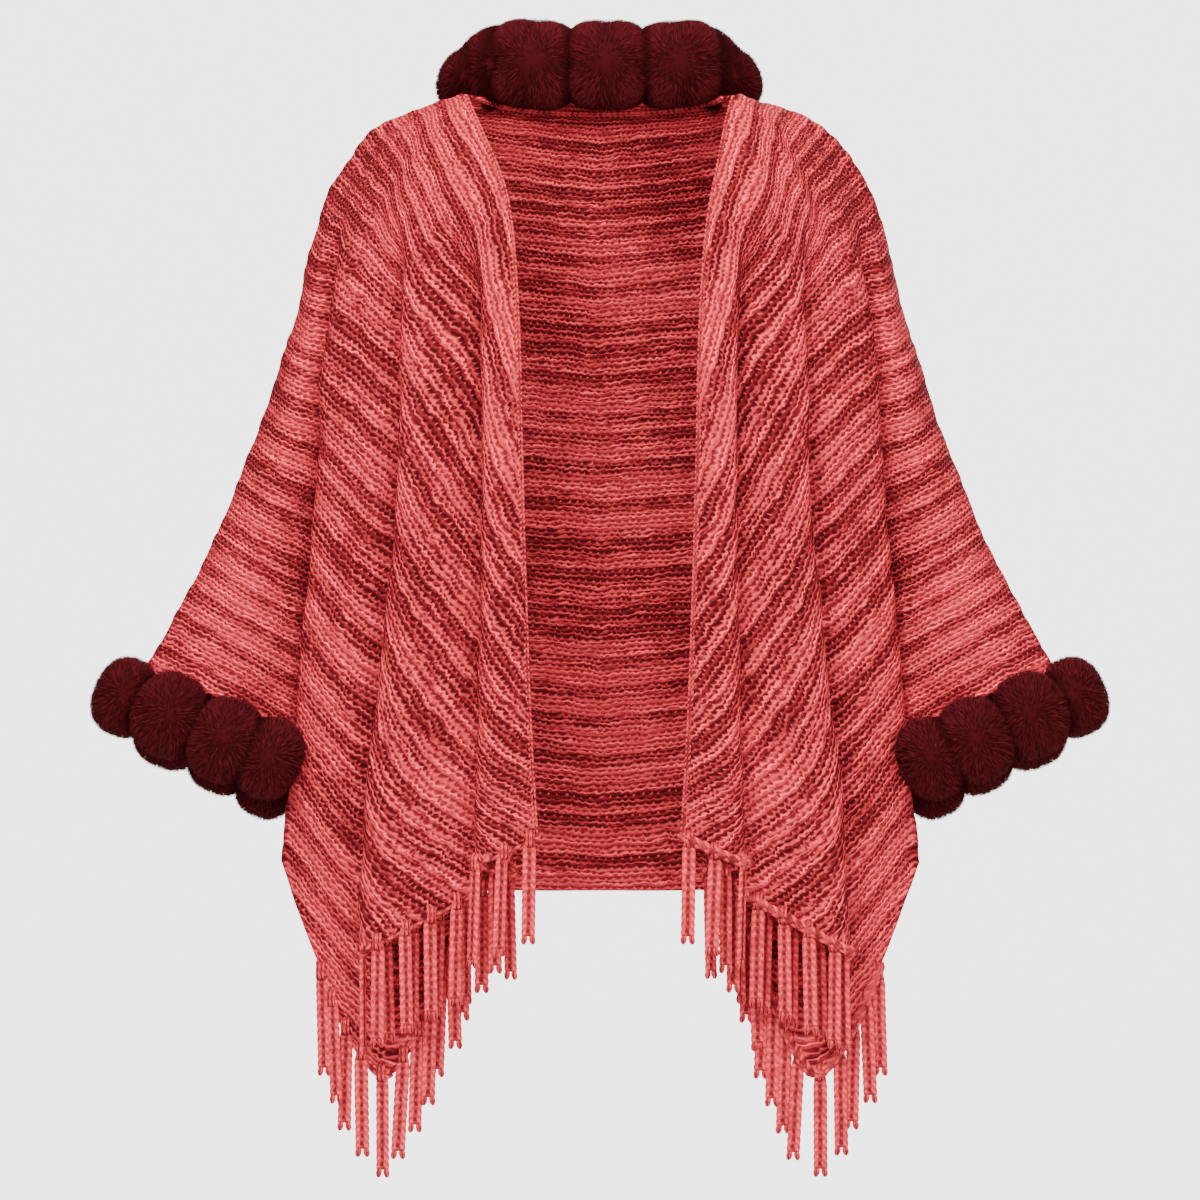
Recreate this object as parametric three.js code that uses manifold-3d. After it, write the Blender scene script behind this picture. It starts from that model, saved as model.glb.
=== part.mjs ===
// Knitted cape cardigan with a fur ball collar and cuffs and a fringed, folded front on each side.
// Millimetres, +Z up, +Y towards the wearer's back. The origin lies between the shoulder tops.
import * as THREE from 'three';
import { mergeVertices } from 'three/addons/utils/BufferGeometryUtils.js';
import Module from 'manifold-3d';

const wasm = await Module();
wasm.setup();

// Cloth
const WALL = 2.6;                  // thickness of the knit
const EDGE_BEAD = 1.1;             // how much the chain edge adds to each face of a front edge
const SEAM_GAP = 0.3;              // space between two pieces that are sewn together
const FOLD_RADIUS = 7;             // roundness of a fold in plan
const OPENING_SHIFT = 8;           // how far the front opening lies to the wearer's left
const SLEEVE_TURN = 1.35;          // turn of the sleeve's front at the cuff, from back to outward
const BACK_WAVE = 6;               // depth of the soft upright waves at the back hem
const BACK_WAVE_PITCH = 92;        // distance between two of those waves

// Fringe
const HEM_STRIP = 8;               // height of the strip that holds the strands
const HEM_GAP = 1;               // drop from the hem to the strip, which leaves 0.3 mm on a slant
const STRAND_LENGTH = 90;
const STRAND_WIDTH = 11;
const STRAND_THICKNESS = 5;
const STRAND_COUNT = 26;           // strands on one side
const FRINGE_END = 0.62;           // share of the last hem stretch, tip to outer fold, with strands

// Fur
const COLLAR_POWER = 0.8;          // below 1 makes a ball squarer than an ellipsoid
const CUFF_POWER = 0.86;
const CUFF_SLOPE = 22.5;           // fall of the cuff towards the body, in degrees
const CUFF_LEAN = 11;              // fall of the cuff towards the back, in degrees

// Heights along a drape line, as shares from the neckline to the lower edge
const STATION = {
  neck: 0, crest: 0.08, yoke: 0.2, bust: 0.36, waist: 0.52, hip: 0.68, cuff: 0.8, hem: 1,
};

// Drape lines of one half, from the front edge round to the centre back.
// Each row is a line from the neckline to its lower edge, with [outward, back, up] at each station.
const DRAPE = {
  frontEdge: {
    neck: [116, -12, 6], crest: [105, -44, -27], yoke: [88, -84, -88], bust: [79, -110, -190],
    waist: [76, -121, -310], hip: [72.5, -127, -430], cuff: [69, -130, -525], hem: [63, -132, -632],
  },
  foldOneRidge: {
    neck: [117.5, -10, 6.5], crest: [118, -44, -26], yoke: [113, -90, -92], bust: [109, -116, -198],
    waist: [108, -127, -322], hip: [109.5, -132, -448], cuff: [111.5, -135, -545], hem: [114.5, -137, -655],
  },
  foldOneValley: {
    neck: [118, -8.5, 7], crest: [128, -43, -25], yoke: [133, -89, -94], bust: [98, -98, -200],
    waist: [93, -106, -326], hip: [90, -110, -452], cuff: [87, -113, -552], hem: [83, -115, -664],
  },
  foldTwoRidge: {
    neck: [118.5, -7, 7.5], crest: [140, -39, -23], yoke: [164, -83, -96], bust: [173, -106, -205],
    waist: [176, -120, -338], hip: [189, -128, -478], cuff: [202, -131, -590], hem: [209, -133, -730],
  },
  foldTwoValley: {
    neck: [119, -5, 8], crest: [146, -36, -22], yoke: [176, -78, -97], bust: [146, -82, -208],
    waist: [138, -86, -342], hip: [134, -88, -480], cuff: [128, -89, -580], hem: [117, -90, -686],
  },
  tip: {
    neck: [119.5, -3, 8.5], crest: [152, -32, -20], yoke: [188, -71, -98], bust: [202, -88, -210],
    waist: [208, -94, -348], hip: [214, -95, -500], cuff: [212, -96, -640], hem: [187, -97, -836],
  },
  foldThreeRidge: {
    neck: [120, 1, 9], crest: [162, -22, -19], yoke: [211, -52, -98], bust: [236, -66, -212],
    waist: [244, -70, -340], hip: [256, -71, -465], cuff: [262.5, -71, -552], hem: [274, -70, -655],
  },
  frontSeam: {
    neck: [120.5, 5, 9], crest: [167, -14, -18], yoke: [220, -40, -98], bust: [214, -42, -205],
    waist: [219, -40, -332], hip: [236, -43, -462], cuff: [246, -49, -556], hem: [250, -50, -640],
  },
  sleeveFront: {
    neck: [120, 10, 9], crest: [172, -2, -15], yoke: [229, -24, -96], bust: [254, -48, -206],
    waist: [278, -64, -322], hip: [301, -82, -428], cuff: [318, -97, -518],
  },
  sleeveOuter: {
    neck: [118, 20, 9], crest: [179, 13, -11], yoke: [231, 6, -69], bust: [268, -6, -200],
    waist: [302, -26, -302], hip: [346, -46, -407], cuff: [393, -62, -493],
  },
  sleeveBack: {
    neck: [114, 30, 9], crest: [171, 37, -15], yoke: [226, 48, -88], bust: [256, 46, -200],
    waist: [284, 28, -310], hip: [312, 0, -424], cuff: [324, -27, -529],
  },
  backSeam: {
    neck: [106, 41, 9], crest: [150, 60, -18], yoke: [203, 84, -96], bust: [222, 88, -205],
    waist: [232, 70, -330], hip: [240, 16, -462], cuff: [246, -46, -557], hem: [250, 8, -684],
  },
  backMiddle: {
    neck: [62, 60, 9], crest: [92, 80, -18], yoke: [118, 105, -96], bust: [130, 113, -205],
    waist: [136, 112, -330], hip: [140, 104, -456], cuff: [144, 90, -556], hem: [148, 92, -685],
  },
  backCentre: {
    neck: [0, 68, 9], crest: [0, 86, -18], yoke: [0, 109, -98], bust: [0, 117, -206],
    waist: [0, 118, -330], hip: [0, 116, -456], cuff: [0, 113, -560], hem: [0, 109, -686],
  },
};

// Where each fold begins and is full, as shares down the drape line.
const FOLD_GROWTH = {
  foldOneRidge: { begins: 0.2, full: 0.36 },
  foldOneValley: { begins: 0.2, full: 0.36 },
  foldTwoRidge: { begins: 0.18, full: 0.34 },
  foldTwoValley: { begins: 0.18, full: 0.34 },
  foldThreeRidge: { begins: 0.16, full: 0.34 },
  frontSeam: { begins: 0.16, full: 0.34 },
};

// How far each line follows the shift of the front opening.
const SHIFT_SHARE = {
  frontEdge: 1, foldOneRidge: 1, foldOneValley: 1, foldTwoRidge: 0.4, foldTwoValley: 0.4,
};

const FRONT_LINES = ['frontEdge', 'foldOneRidge', 'foldOneValley', 'foldTwoRidge', 'foldTwoValley',
  'tip', 'foldThreeRidge', 'frontSeam'];
const FRONT_COLUMNS = [4, 4, 6, 5, 4, 4, 4];
const SLEEVE_LINES = ['frontSeam', 'sleeveFront', 'sleeveOuter', 'sleeveBack', 'backSeam'];
const SLEEVE_COLUMNS = [4, 4, 4, 4];
const BACK_LINES = ['backSeam', 'backMiddle', 'backCentre'];
const BACK_COLUMNS = [4, 4];
const UPPER_ROWS = 12;             // rows from the neckline to the cuffs
const LOWER_ROWS = 4;              // rows from the cuffs to the hem
const ROW_BIAS = 1.35;             // above 1 crowds the rows at the shoulder

// Fur balls of the collar: where each lies, how it is turned in plan and rolled towards the middle,
// and its half sizes. The middle ball stands out most, as in the picture.
const COLLAR_BALLS = [
  { at: [-121, 62, 27], turn: -60, roll: 18, along: 19, thick: 20, high: 25 },
  { at: [-103, 58, 36], turn: -34, roll: 14, along: 32, thick: 27, high: 36 },
  { at: [-56, 51, 35], turn: -12, roll: 4, along: 37, thick: 31, high: 38 },
  { at: [6, 47, 33], turn: 0, roll: 0, along: 36, thick: 33, high: 39 },
  { at: [67, 51, 35], turn: 12, roll: -4, along: 36, thick: 31, high: 38 },
  { at: [105, 58, 36], turn: 34, roll: -14, along: 31, thick: 27, high: 36 },
  { at: [119, 62, 27], turn: 60, roll: -18, along: 19, thick: 20, high: 25 },
];

// Fur balls of one cuff, from the inner front round the outside to the inner back.
const CUFF_BALLS = [
  { at: [284, -102, -566], turn: 4, along: 29, thick: 24, high: 37 },
  { at: [322, -102, -550], turn: 2, along: 32, thick: 25, high: 39 },
  { at: [369, -95, -529], turn: -14, along: 34, thick: 25, high: 39 },
  { at: [408, -62, -514], turn: -90, along: 34, thick: 30, high: 36 },
  { at: [370, -30, -543], turn: 14, along: 34, thick: 24, high: 35 },
  { at: [325, -22, -564], turn: -2, along: 32, thick: 24, high: 36 },
  { at: [286, -25, -585], turn: -8, along: 29, thick: 24, high: 36 },
];

const KNIT = { color: 0xc4525a, roughness: 0.92, metalness: 0 };
const FUR = { color: 0x4d0a12, roughness: 0.88, metalness: 0 };

const vector = (values) => new THREE.Vector3(...values);
const lerp = (a, b, share) => a + (b - a) * share;

/** Smooth step from 0 at `from` to 1 at `to`. */
function ease(value, from, to) {
  const share = Math.min(1, Math.max(0, (value - from) / (to - from)));
  return share * share * (3 - 2 * share);
}

/** Cubic Hermite point between two points with their tangents. */
function hermite(start, startTangent, end, endTangent, share) {
  const square = share * share;
  const cube = square * share;
  return new THREE.Vector3()
    .addScaledVector(start, 2 * cube - 3 * square + 1)
    .addScaledVector(startTangent, cube - 2 * square + share)
    .addScaledVector(end, 3 * square - 2 * cube)
    .addScaledVector(endTangent, cube - square);
}

/** Point of a drape line at a share of its length, for the right half before the opening's shift. */
function drapePoint(line, share) {
  const row = DRAPE[line];
  const names = Object.keys(row);
  const knots = names.map((name) => STATION[name]);
  const points = names.map((name) => vector(row[name]));
  const last = knots.length - 1;
  const slope = (k) => points[k + 1].clone().sub(points[k]).divideScalar(knots[k + 1] - knots[k]);
  const tangent = (k) => {
    if (k === 0) return slope(0);
    if (k === last) return slope(last - 1);
    const before = knots[k] - knots[k - 1];
    const after = knots[k + 1] - knots[k];
    return slope(k - 1).multiplyScalar(after).addScaledVector(slope(k), before)
      .divideScalar(before + after);
  };
  let k = 0;
  while (k < last - 1 && share > knots[k + 1]) k += 1;
  const span = knots[k + 1] - knots[k];
  return hermite(points[k], tangent(k).multiplyScalar(span), points[k + 1],
    tangent(k + 1).multiplyScalar(span), (share - knots[k]) / span);
}

/** Drape point with the shift of the front opening, which grows below the neck. */
function placedPoint(line, share, side) {
  const point = drapePoint(line, share);
  const follow = SHIFT_SHARE[line] ?? 0;
  point.x += side * OPENING_SHIFT * follow * ease(share, 0, STATION.yoke);
  return point;
}

/** How far a fold has formed on a line: 0 is smooth cloth and 1 is a full fold. */
function foldShare(line, share) {
  const growth = FOLD_GROWTH[line];
  return growth ? ease(share, growth.begins, growth.full) : 0;
}

/** Tangent at line k of a section for the stretch to its neighbour. */
function sectionTangent(lines, points, k, stretch, share, ends) {
  const from = points[stretch];
  const to = points[stretch + 1];
  const length = from.distanceTo(to);
  const before = points[Math.max(k - 1, 0)];
  const after = points[Math.min(k + 1, points.length - 1)];
  const around = before.distanceTo(points[k]) + after.distanceTo(points[k]);
  const smooth = after.clone().sub(before).multiplyScalar(length / around);
  if (k === 0 && ends.start) smooth.copy(ends.start).multiplyScalar(length);
  if (k === points.length - 1 && ends.end) smooth.copy(ends.end).multiplyScalar(length);
  const across = Math.abs(to.x - from.x);
  const turned = new THREE.Vector3(0, Math.sqrt(6 * FOLD_RADIUS * across), 0);
  if (k === 0 && ends.foldTo) turned.applyAxisAngle(new THREE.Vector3(0, 0, 1), ends.foldTo);
  return smooth.lerp(turned, foldShare(lines[k], share));
}

/** Points of one section of a panel, with a column count for each stretch. */
function sectionPoints(lines, columns, share, side, ends = {}) {
  const points = lines.map((line) => placedPoint(line, share, side));
  const section = [points[0].clone()];
  columns.forEach((count, stretch) => {
    const startTangent = sectionTangent(lines, points, stretch, stretch, share, ends);
    const endTangent = sectionTangent(lines, points, stretch + 1, stretch, share, ends);
    for (let column = 1; column <= count; column += 1) {
      const even = column / count;
      const crowded = 0.5 - 0.5 * Math.cos(Math.PI * even);
      const place = lerp(even, crowded, 0.5);
      section.push(hermite(points[stretch], startTangent, points[stretch + 1], endTangent, place));
    }
  });
  return section;
}

/** Direction in which the cloth runs across the back seam, before and after it. */
function backSeamDirections(share) {
  const seam = drapePoint('backSeam', share);
  const sleeve = drapePoint('sleeveBack', Math.min(share, STATION.cuff));
  const back = drapePoint('backMiddle', share);
  const across = back.clone().sub(sleeve).normalize();
  const inward = new THREE.Vector3(-1, 0, 0);
  const leaving = back.clone().sub(seam).normalize();
  const apart = ease(share, STATION.waist, STATION.cuff);
  return {
    arriving: across.clone().lerp(inward, apart).normalize(),
    leaving: across.clone().lerp(leaving, apart).normalize(),
  };
}

/** Shares down the drape lines of all rows, the cuff's height included. */
const ROWS = [];
for (let row = 0; row <= UPPER_ROWS; row += 1) {
  ROWS.push(STATION.cuff * (row / UPPER_ROWS) ** ROW_BIAS);
}
for (let row = 1; row <= LOWER_ROWS; row += 1) {
  ROWS.push(lerp(STATION.cuff, STATION.hem, row / LOWER_ROWS));
}
const SLEEVE_ROWS = ROWS.slice(0, UPPER_ROWS + 1);

/** Turn of the sleeve's first stretch at the front seam, from straight back to outward. */
const sleeveTurn = (share) => -SLEEVE_TURN * ease(share, STATION.bust, STATION.cuff);

function frontGrid(side) {
  return ROWS.map((share) => sectionPoints(FRONT_LINES, FRONT_COLUMNS, share, side));
}

function sleeveGrid(side) {
  return SLEEVE_ROWS.map((share) => sectionPoints(SLEEVE_LINES, SLEEVE_COLUMNS, share, side, {
    foldTo: sleeveTurn(share),
    end: backSeamDirections(share).arriving,
  }));
}

/** Soft upright waves of the back, which fade out towards the shoulders and the seams. */
function backWave(point, share) {
  const depth = BACK_WAVE * ease(share, STATION.yoke, STATION.hem);
  const fade = 1 - ease(Math.abs(point.x), 120, 215);
  point.y += depth * fade * Math.cos((2 * Math.PI * point.x) / BACK_WAVE_PITCH);
  return point;
}

function backGrid() {
  return ROWS.map((share) => {
    const ends = { start: backSeamDirections(share).leaving, end: new THREE.Vector3(-1, 0, 0) };
    const half = sectionPoints(BACK_LINES, BACK_COLUMNS, share, 1, ends);
    half.forEach((point) => backWave(point, share));
    const mirrored = half.slice(0, -1).map((point) => new THREE.Vector3(-point.x, point.y, point.z));
    return [...half, ...mirrored.reverse()];
  });
}

/** Unit normals of a grid by central differences, one for each of its points. */
function gridNormals(grid) {
  const rows = grid.length;
  const columns = grid[0].length;
  return grid.map((line, row) => line.map((point, column) => {
    const right = grid[row][Math.min(column + 1, columns - 1)].clone()
      .sub(grid[row][Math.max(column - 1, 0)]);
    const down = grid[Math.min(row + 1, rows - 1)][column].clone()
      .sub(grid[Math.max(row - 1, 0)][column]);
    return down.cross(right).normalize();
  }));
}

/** Closed wall on a grid: `half` gives half the thickness at a row and column. */
function wallGeometry(grid, normals, half) {
  const rows = grid.length;
  const columns = grid[0].length;
  const positions = [];
  const index = (face, row, column) => (face * rows + row) * columns + column;
  [1, -1].forEach((face) => grid.forEach((line, row) => line.forEach((point, column) => {
    const moved = point.clone().addScaledVector(normals[row][column], face * half(row, column));
    positions.push(moved.x, moved.y, moved.z);
  })));
  const triangles = [];
  const quad = (a, b, c, d) => triangles.push(a, b, c, a, c, d);
  for (let row = 0; row < rows - 1; row += 1) {
    for (let column = 0; column < columns - 1; column += 1) {
      quad(index(0, row, column), index(0, row, column + 1),
        index(0, row + 1, column + 1), index(0, row + 1, column));
      quad(index(1, row, column), index(1, row + 1, column),
        index(1, row + 1, column + 1), index(1, row, column + 1));
    }
  }
  for (let column = 0; column < columns - 1; column += 1) {
    quad(index(0, 0, column), index(1, 0, column), index(1, 0, column + 1), index(0, 0, column + 1));
    const end = rows - 1;
    quad(index(0, end, column), index(0, end, column + 1),
      index(1, end, column + 1), index(1, end, column));
  }
  for (let row = 0; row < rows - 1; row += 1) {
    quad(index(0, row, 0), index(0, row + 1, 0), index(1, row + 1, 0), index(1, row, 0));
    const end = columns - 1;
    quad(index(0, row, end), index(1, row, end), index(1, row + 1, end), index(0, row + 1, end));
  }
  return outwardGeometry(positions, triangles);
}

/** Geometry from positions and triangles, turned so that its faces point out. */
function outwardGeometry(positions, triangles) {
  const corner = (k) => vector(positions.slice(3 * k, 3 * k + 3));
  let volume = 0;
  for (let k = 0; k < triangles.length; k += 3) {
    const [a, b, c] = [corner(triangles[k]), corner(triangles[k + 1]), corner(triangles[k + 2])];
    volume += a.dot(b.cross(c));
  }
  const ordered = volume > 0 ? triangles : triangles.slice().reverse();
  const geometry = new THREE.BufferGeometry();
  geometry.setAttribute('position', new THREE.Float32BufferAttribute(positions, 3));
  geometry.setIndex(ordered);
  return geometry;
}

const mirrorGrid = (grid, side) => grid.map((line) => line.map(
  (point) => new THREE.Vector3(side * point.x, point.y, point.z)));

/** Grids of the four kinds of panel for one side, with the normals that neighbours share. */
function halfGrids(side) {
  const front = frontGrid(side);
  const sleeve = sleeveGrid(side);
  const back = backGrid();
  const frontNormals = gridNormals(front);
  const sleeveNormals = gridNormals(sleeve);
  const backNormals = gridNormals(back);
  const lastFront = front[0].length - 1;
  const lastSleeve = sleeve[0].length - 1;
  const seam = (row, first, firstNormals, firstColumn, second, secondNormals) => {
    const normal = firstNormals[row][firstColumn].clone().add(secondNormals[row][0]).normalize();
    firstNormals[row][firstColumn].copy(normal);
    secondNormals[row][0].copy(normal);
    const across = second[row][1].clone().sub(second[row][0]).normalize()
      .add(first[row][firstColumn].clone().sub(first[row][firstColumn - 1]).normalize());
    across.addScaledVector(normal, -across.dot(normal)).normalize();
    first[row][firstColumn].addScaledVector(across, -SEAM_GAP / 2);
    second[row][0].addScaledVector(across, SEAM_GAP / 2);
  };
  SLEEVE_ROWS.forEach((share, row) => {
    seam(row, front, frontNormals, lastFront, sleeve, sleeveNormals);
    seam(row, sleeve, sleeveNormals, lastSleeve, back, backNormals);
  });
  return { front, frontNormals, sleeve, sleeveNormals, back, backNormals };
}

/** The back on both sides, joined from the seam-fitted half of each side. */
function wholeBack(grids) {
  const middle = (grids.back[0].length - 1) / 2;
  const join = (rows, flip) => rows.map((line) => {
    const right = line.slice(0, middle + 1);
    const left = right.slice(0, -1).reverse().map((item) => flip(item));
    return [...right, ...left];
  });
  const flip = (item) => new THREE.Vector3(-item.x, item.y, item.z);
  return { grid: join(grids.back, flip), normals: join(grids.backNormals, flip) };
}

/** Solid for cutting and joining from a closed geometry. */
function solidOf(geometry) {
  const bare = geometry.clone();
  bare.deleteAttribute('normal');
  bare.deleteAttribute('uv');
  const merged = mergeVertices(bare, 1e-4);
  return new wasm.Manifold(new wasm.Mesh({
    numProp: 3,
    vertProperties: new Float32Array(merged.attributes.position.array),
    triVerts: new Uint32Array(merged.index.array),
  }));
}

function geometryOf(solid) {
  const mesh = solid.getMesh();
  const geometry = new THREE.BufferGeometry();
  geometry.setAttribute('position', new THREE.BufferAttribute(new Float32Array(mesh.vertProperties), 3));
  geometry.setIndex(new THREE.BufferAttribute(new Uint32Array(mesh.triVerts), 1));
  return geometry;
}

/** One fur ball: a squared ellipsoid rolled sideways, turned in plan, then leaned with its row. */
function ballGeometry(ball, side, lean, power) {
  const geometry = new THREE.SphereGeometry(1, 12, 8);
  geometry.rotateZ(Math.PI / 2);
  const position = geometry.attributes.position;
  const squared = (value) => Math.sign(value) * Math.abs(value) ** power;
  for (let k = 0; k < position.count; k += 1) {
    position.setXYZ(k, ball.along * squared(position.getX(k)),
      ball.thick * squared(position.getY(k)), ball.high * squared(position.getZ(k)));
  }
  geometry.rotateY(THREE.MathUtils.degToRad(side * (ball.roll ?? 0)));
  geometry.rotateZ(THREE.MathUtils.degToRad(side * ball.turn));
  geometry.applyMatrix4(lean);
  const [outward, back, up] = ball.at;
  geometry.translate(side * outward, back, up);
  return geometry;
}

/** A row of fur balls as one solid, with a slot where the cloth enters it. */
function furGeometry(balls, side, lean, power, clothTools) {
  const row = balls.map((ball) => solidOf(ballGeometry(ball, side, lean, power)))
    .reduce((whole, ball) => whole.add(ball));
  return geometryOf(clothTools.reduce((whole, tool) => whole.subtract(tool), row));
}

/** Cutter a seam gap larger than part of a panel, on every column or one of a few. */
function clothTool(grid, normals, firstRow, lastRow, stride = 1) {
  const kept = (line) => line.filter(
    (item, column) => column % stride === 0 || column === line.length - 1);
  const rows = grid.slice(firstRow, lastRow + 1)
    .map((line) => kept(line).map((point) => point.clone()));
  const rowNormals = normals.slice(firstRow, lastRow + 1).map(kept);
  const stretch = (line, next) => line.forEach((point, column) => {
    point.addScaledVector(point.clone().sub(next[column]).normalize(), SEAM_GAP);
  });
  stretch(rows[0], rows[1]);
  stretch(rows[rows.length - 1], rows[rows.length - 2]);
  rows.forEach((line) => {
    const end = line.length - 1;
    line[0].addScaledVector(line[0].clone().sub(line[1]).normalize(), SEAM_GAP);
    line[end].addScaledVector(line[end].clone().sub(line[end - 1]).normalize(), SEAM_GAP);
  });
  const half = WALL / 2 + SEAM_GAP;
  return solidOf(wallGeometry(rows, rowNormals, () => half));
}

/** Strip under a hem with its strands, joined into one solid. */
function fringeGeometry(grid, normals) {
  const hem = grid[grid.length - 1];
  const hemNormals = normals[normals.length - 1];
  const lastStretch = FRONT_COLUMNS.slice(0, 5).reduce((sum, count) => sum + count, 0);
  const endColumn = lastStretch + Math.round(FRINGE_END * FRONT_COLUMNS[5]);
  const edge = hem.slice(0, endColumn + 1);
  const edgeNormals = hemNormals.slice(0, endColumn + 1)
    .map((normal) => new THREE.Vector3(normal.x, normal.y, 0).normalize());
  const lowered = (drop) => edge.map((point) => point.clone().add(new THREE.Vector3(0, 0, -drop)));
  const strip = wallGeometry([lowered(HEM_GAP), lowered(HEM_GAP + HEM_STRIP)],
    [hemNormals.slice(0, endColumn + 1), edgeNormals], () => WALL / 2);
  const lengths = [0];
  for (let k = 1; k < edge.length; k += 1) {
    lengths.push(lengths[k - 1] + edge[k].distanceTo(edge[k - 1]));
  }
  const total = lengths[lengths.length - 1];
  const margin = STRAND_WIDTH / 2;
  let whole = solidOf(strip);
  for (let strand = 0; strand < STRAND_COUNT; strand += 1) {
    const along = lerp(margin, total - margin, strand / (STRAND_COUNT - 1));
    let k = 0;
    while (k < lengths.length - 2 && lengths[k + 1] < along) k += 1;
    const share = (along - lengths[k]) / (lengths[k + 1] - lengths[k]);
    const root = edge[k].clone().lerp(edge[k + 1], share);
    const normal = edgeNormals[k].clone().lerp(edgeNormals[k + 1], share).normalize();
    whole = whole.add(solidOf(strandGeometry(root, normal)));
  }
  return geometryOf(whole);
}

/** One four-sided strand that hangs from a point of the hem, narrow at its root and tip. */
function strandGeometry(root, normal) {
  const across = new THREE.Vector3(-normal.y, normal.x, 0);
  const rings = [
    { drop: HEM_GAP + 0.6 * HEM_STRIP, size: 0.35 },
    { drop: 2 * HEM_STRIP, size: 0.95 },
    { drop: STRAND_LENGTH - STRAND_WIDTH, size: 1 },
    { drop: STRAND_LENGTH, size: 0.7 },
  ];
  const positions = [];
  rings.forEach(({ drop, size }) => {
    const centre = root.clone().add(new THREE.Vector3(0, 0, -drop));
    [[1, 0], [0, 1], [-1, 0], [0, -1]].forEach(([wide, deep]) => {
      const point = centre.clone().addScaledVector(across, wide * size * STRAND_WIDTH / 2)
        .addScaledVector(normal, deep * size * STRAND_THICKNESS / 2);
      positions.push(point.x, point.y, point.z);
    });
  });
  const triangles = [0, 1, 2, 0, 2, 3];
  rings.slice(1).forEach((ring, k) => {
    for (let side = 0; side < 4; side += 1) {
      const a = 4 * k + side;
      const b = 4 * k + ((side + 1) % 4);
      triangles.push(a, a + 4, b + 4, a, b + 4, b);
    }
  });
  const base = 4 * (rings.length - 1);
  triangles.push(base, base + 2, base + 1, base, base + 3, base + 2);
  return outwardGeometry(positions, triangles);
}

/** Turns a fur cuff's upright balls to the fall of the sleeve's end. */
function cuffLean(side) {
  const slope = new THREE.Matrix4().makeRotationY(-side * THREE.MathUtils.degToRad(CUFF_SLOPE));
  const lean = new THREE.Matrix4().makeRotationX(-THREE.MathUtils.degToRad(CUFF_LEAN));
  return slope.multiply(lean);
}

const cardigan = new THREE.Group();

function addPiece(name, geometry, finish) {
  const mesh = new THREE.Mesh(geometry, new THREE.MeshStandardMaterial(finish));
  mesh.name = name;
  cardigan.add(mesh);
}

const plainWall = () => WALL / 2;
const beadedWall = (row, column) => WALL / 2 + (column === 0 && row > COLLAR_ROWS ? EDGE_BEAD : 0);
const SIDES = [{ name: 'left', side: 1 }, { name: 'right', side: -1 }];
const COLLAR_ROWS = 2;             // rows of cloth that reach into the collar
const NECK_STRIDE = 2;             // columns of a front that share one facet of the collar's slot
const CUFF_ROWS = 1;               // rows of cloth that reach into a cuff
const neckTools = [];

SIDES.forEach(({ name, side }) => {
  const grids = halfGrids(side);
  const turnedNormals = (rows) => mirrorGrid(rows, side);
  const front = mirrorGrid(grids.front, side);
  const frontNormals = turnedNormals(grids.frontNormals);
  const sleeve = mirrorGrid(grids.sleeve, side);
  const sleeveNormals = turnedNormals(grids.sleeveNormals);
  addPiece(`front_${name}`, wallGeometry(front, frontNormals, beadedWall), KNIT);
  addPiece(`sleeve_${name}`, wallGeometry(sleeve, sleeveNormals, plainWall), KNIT);
  addPiece(`fringe_${name}`, fringeGeometry(front, frontNormals), KNIT);
  const cuffTool = clothTool(sleeve, sleeveNormals, UPPER_ROWS - CUFF_ROWS, UPPER_ROWS);
  addPiece(`fur_cuff_${name}`, furGeometry(CUFF_BALLS, side, cuffLean(side), CUFF_POWER, [cuffTool]), FUR);
  neckTools.push(clothTool(front, frontNormals, 0, COLLAR_ROWS, NECK_STRIDE));
  neckTools.push(clothTool(sleeve, sleeveNormals, 0, COLLAR_ROWS));
});

const back = wholeBack(halfGrids(1));
addPiece('back_panel', wallGeometry(back.grid, back.normals, plainWall), KNIT);
neckTools.push(clothTool(back.grid, back.normals, 0, COLLAR_ROWS));
addPiece('fur_collar', furGeometry(COLLAR_BALLS, 1, new THREE.Matrix4(), COLLAR_POWER, neckTools), FUR);

export default cardigan;
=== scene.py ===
"""Knitted cape cardigan with fur collar, fur cuffs and fringed fronts, as it hangs when worn.

Axes: +Z up, the wearer faces -Y and the wearer's left is +X. The tables are in millimetres and
Blender's scene is in metres.
"""

import logging
import math
from dataclasses import dataclass
from enum import Enum

import bpy
import numpy as np
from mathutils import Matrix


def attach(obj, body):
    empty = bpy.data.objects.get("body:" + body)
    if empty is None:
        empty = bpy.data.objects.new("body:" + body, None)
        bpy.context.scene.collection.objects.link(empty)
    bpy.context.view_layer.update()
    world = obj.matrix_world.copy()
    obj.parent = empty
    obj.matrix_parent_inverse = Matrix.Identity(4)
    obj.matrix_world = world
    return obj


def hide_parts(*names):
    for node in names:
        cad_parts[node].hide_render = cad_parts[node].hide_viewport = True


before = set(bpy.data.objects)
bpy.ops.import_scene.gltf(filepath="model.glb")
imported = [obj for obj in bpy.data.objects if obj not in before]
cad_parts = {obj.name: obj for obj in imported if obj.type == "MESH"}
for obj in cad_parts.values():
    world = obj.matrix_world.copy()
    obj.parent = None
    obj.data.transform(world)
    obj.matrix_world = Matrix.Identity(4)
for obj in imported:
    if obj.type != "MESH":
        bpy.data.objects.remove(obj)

logging.basicConfig(level=logging.INFO, format="%(message)s")
log = logging.getLogger("cardigan")

MM = 0.001                      # metres in a millimetre

Array = np.ndarray

# Stations down every drape line, as shares of the way from the neck to the hem.
STATION = {
    "neck": 0.0, "crest": 0.08, "yoke": 0.2, "bust": 0.36,
    "waist": 0.52, "hip": 0.68, "cuff": 0.8, "hem": 1.0,
}

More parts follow.
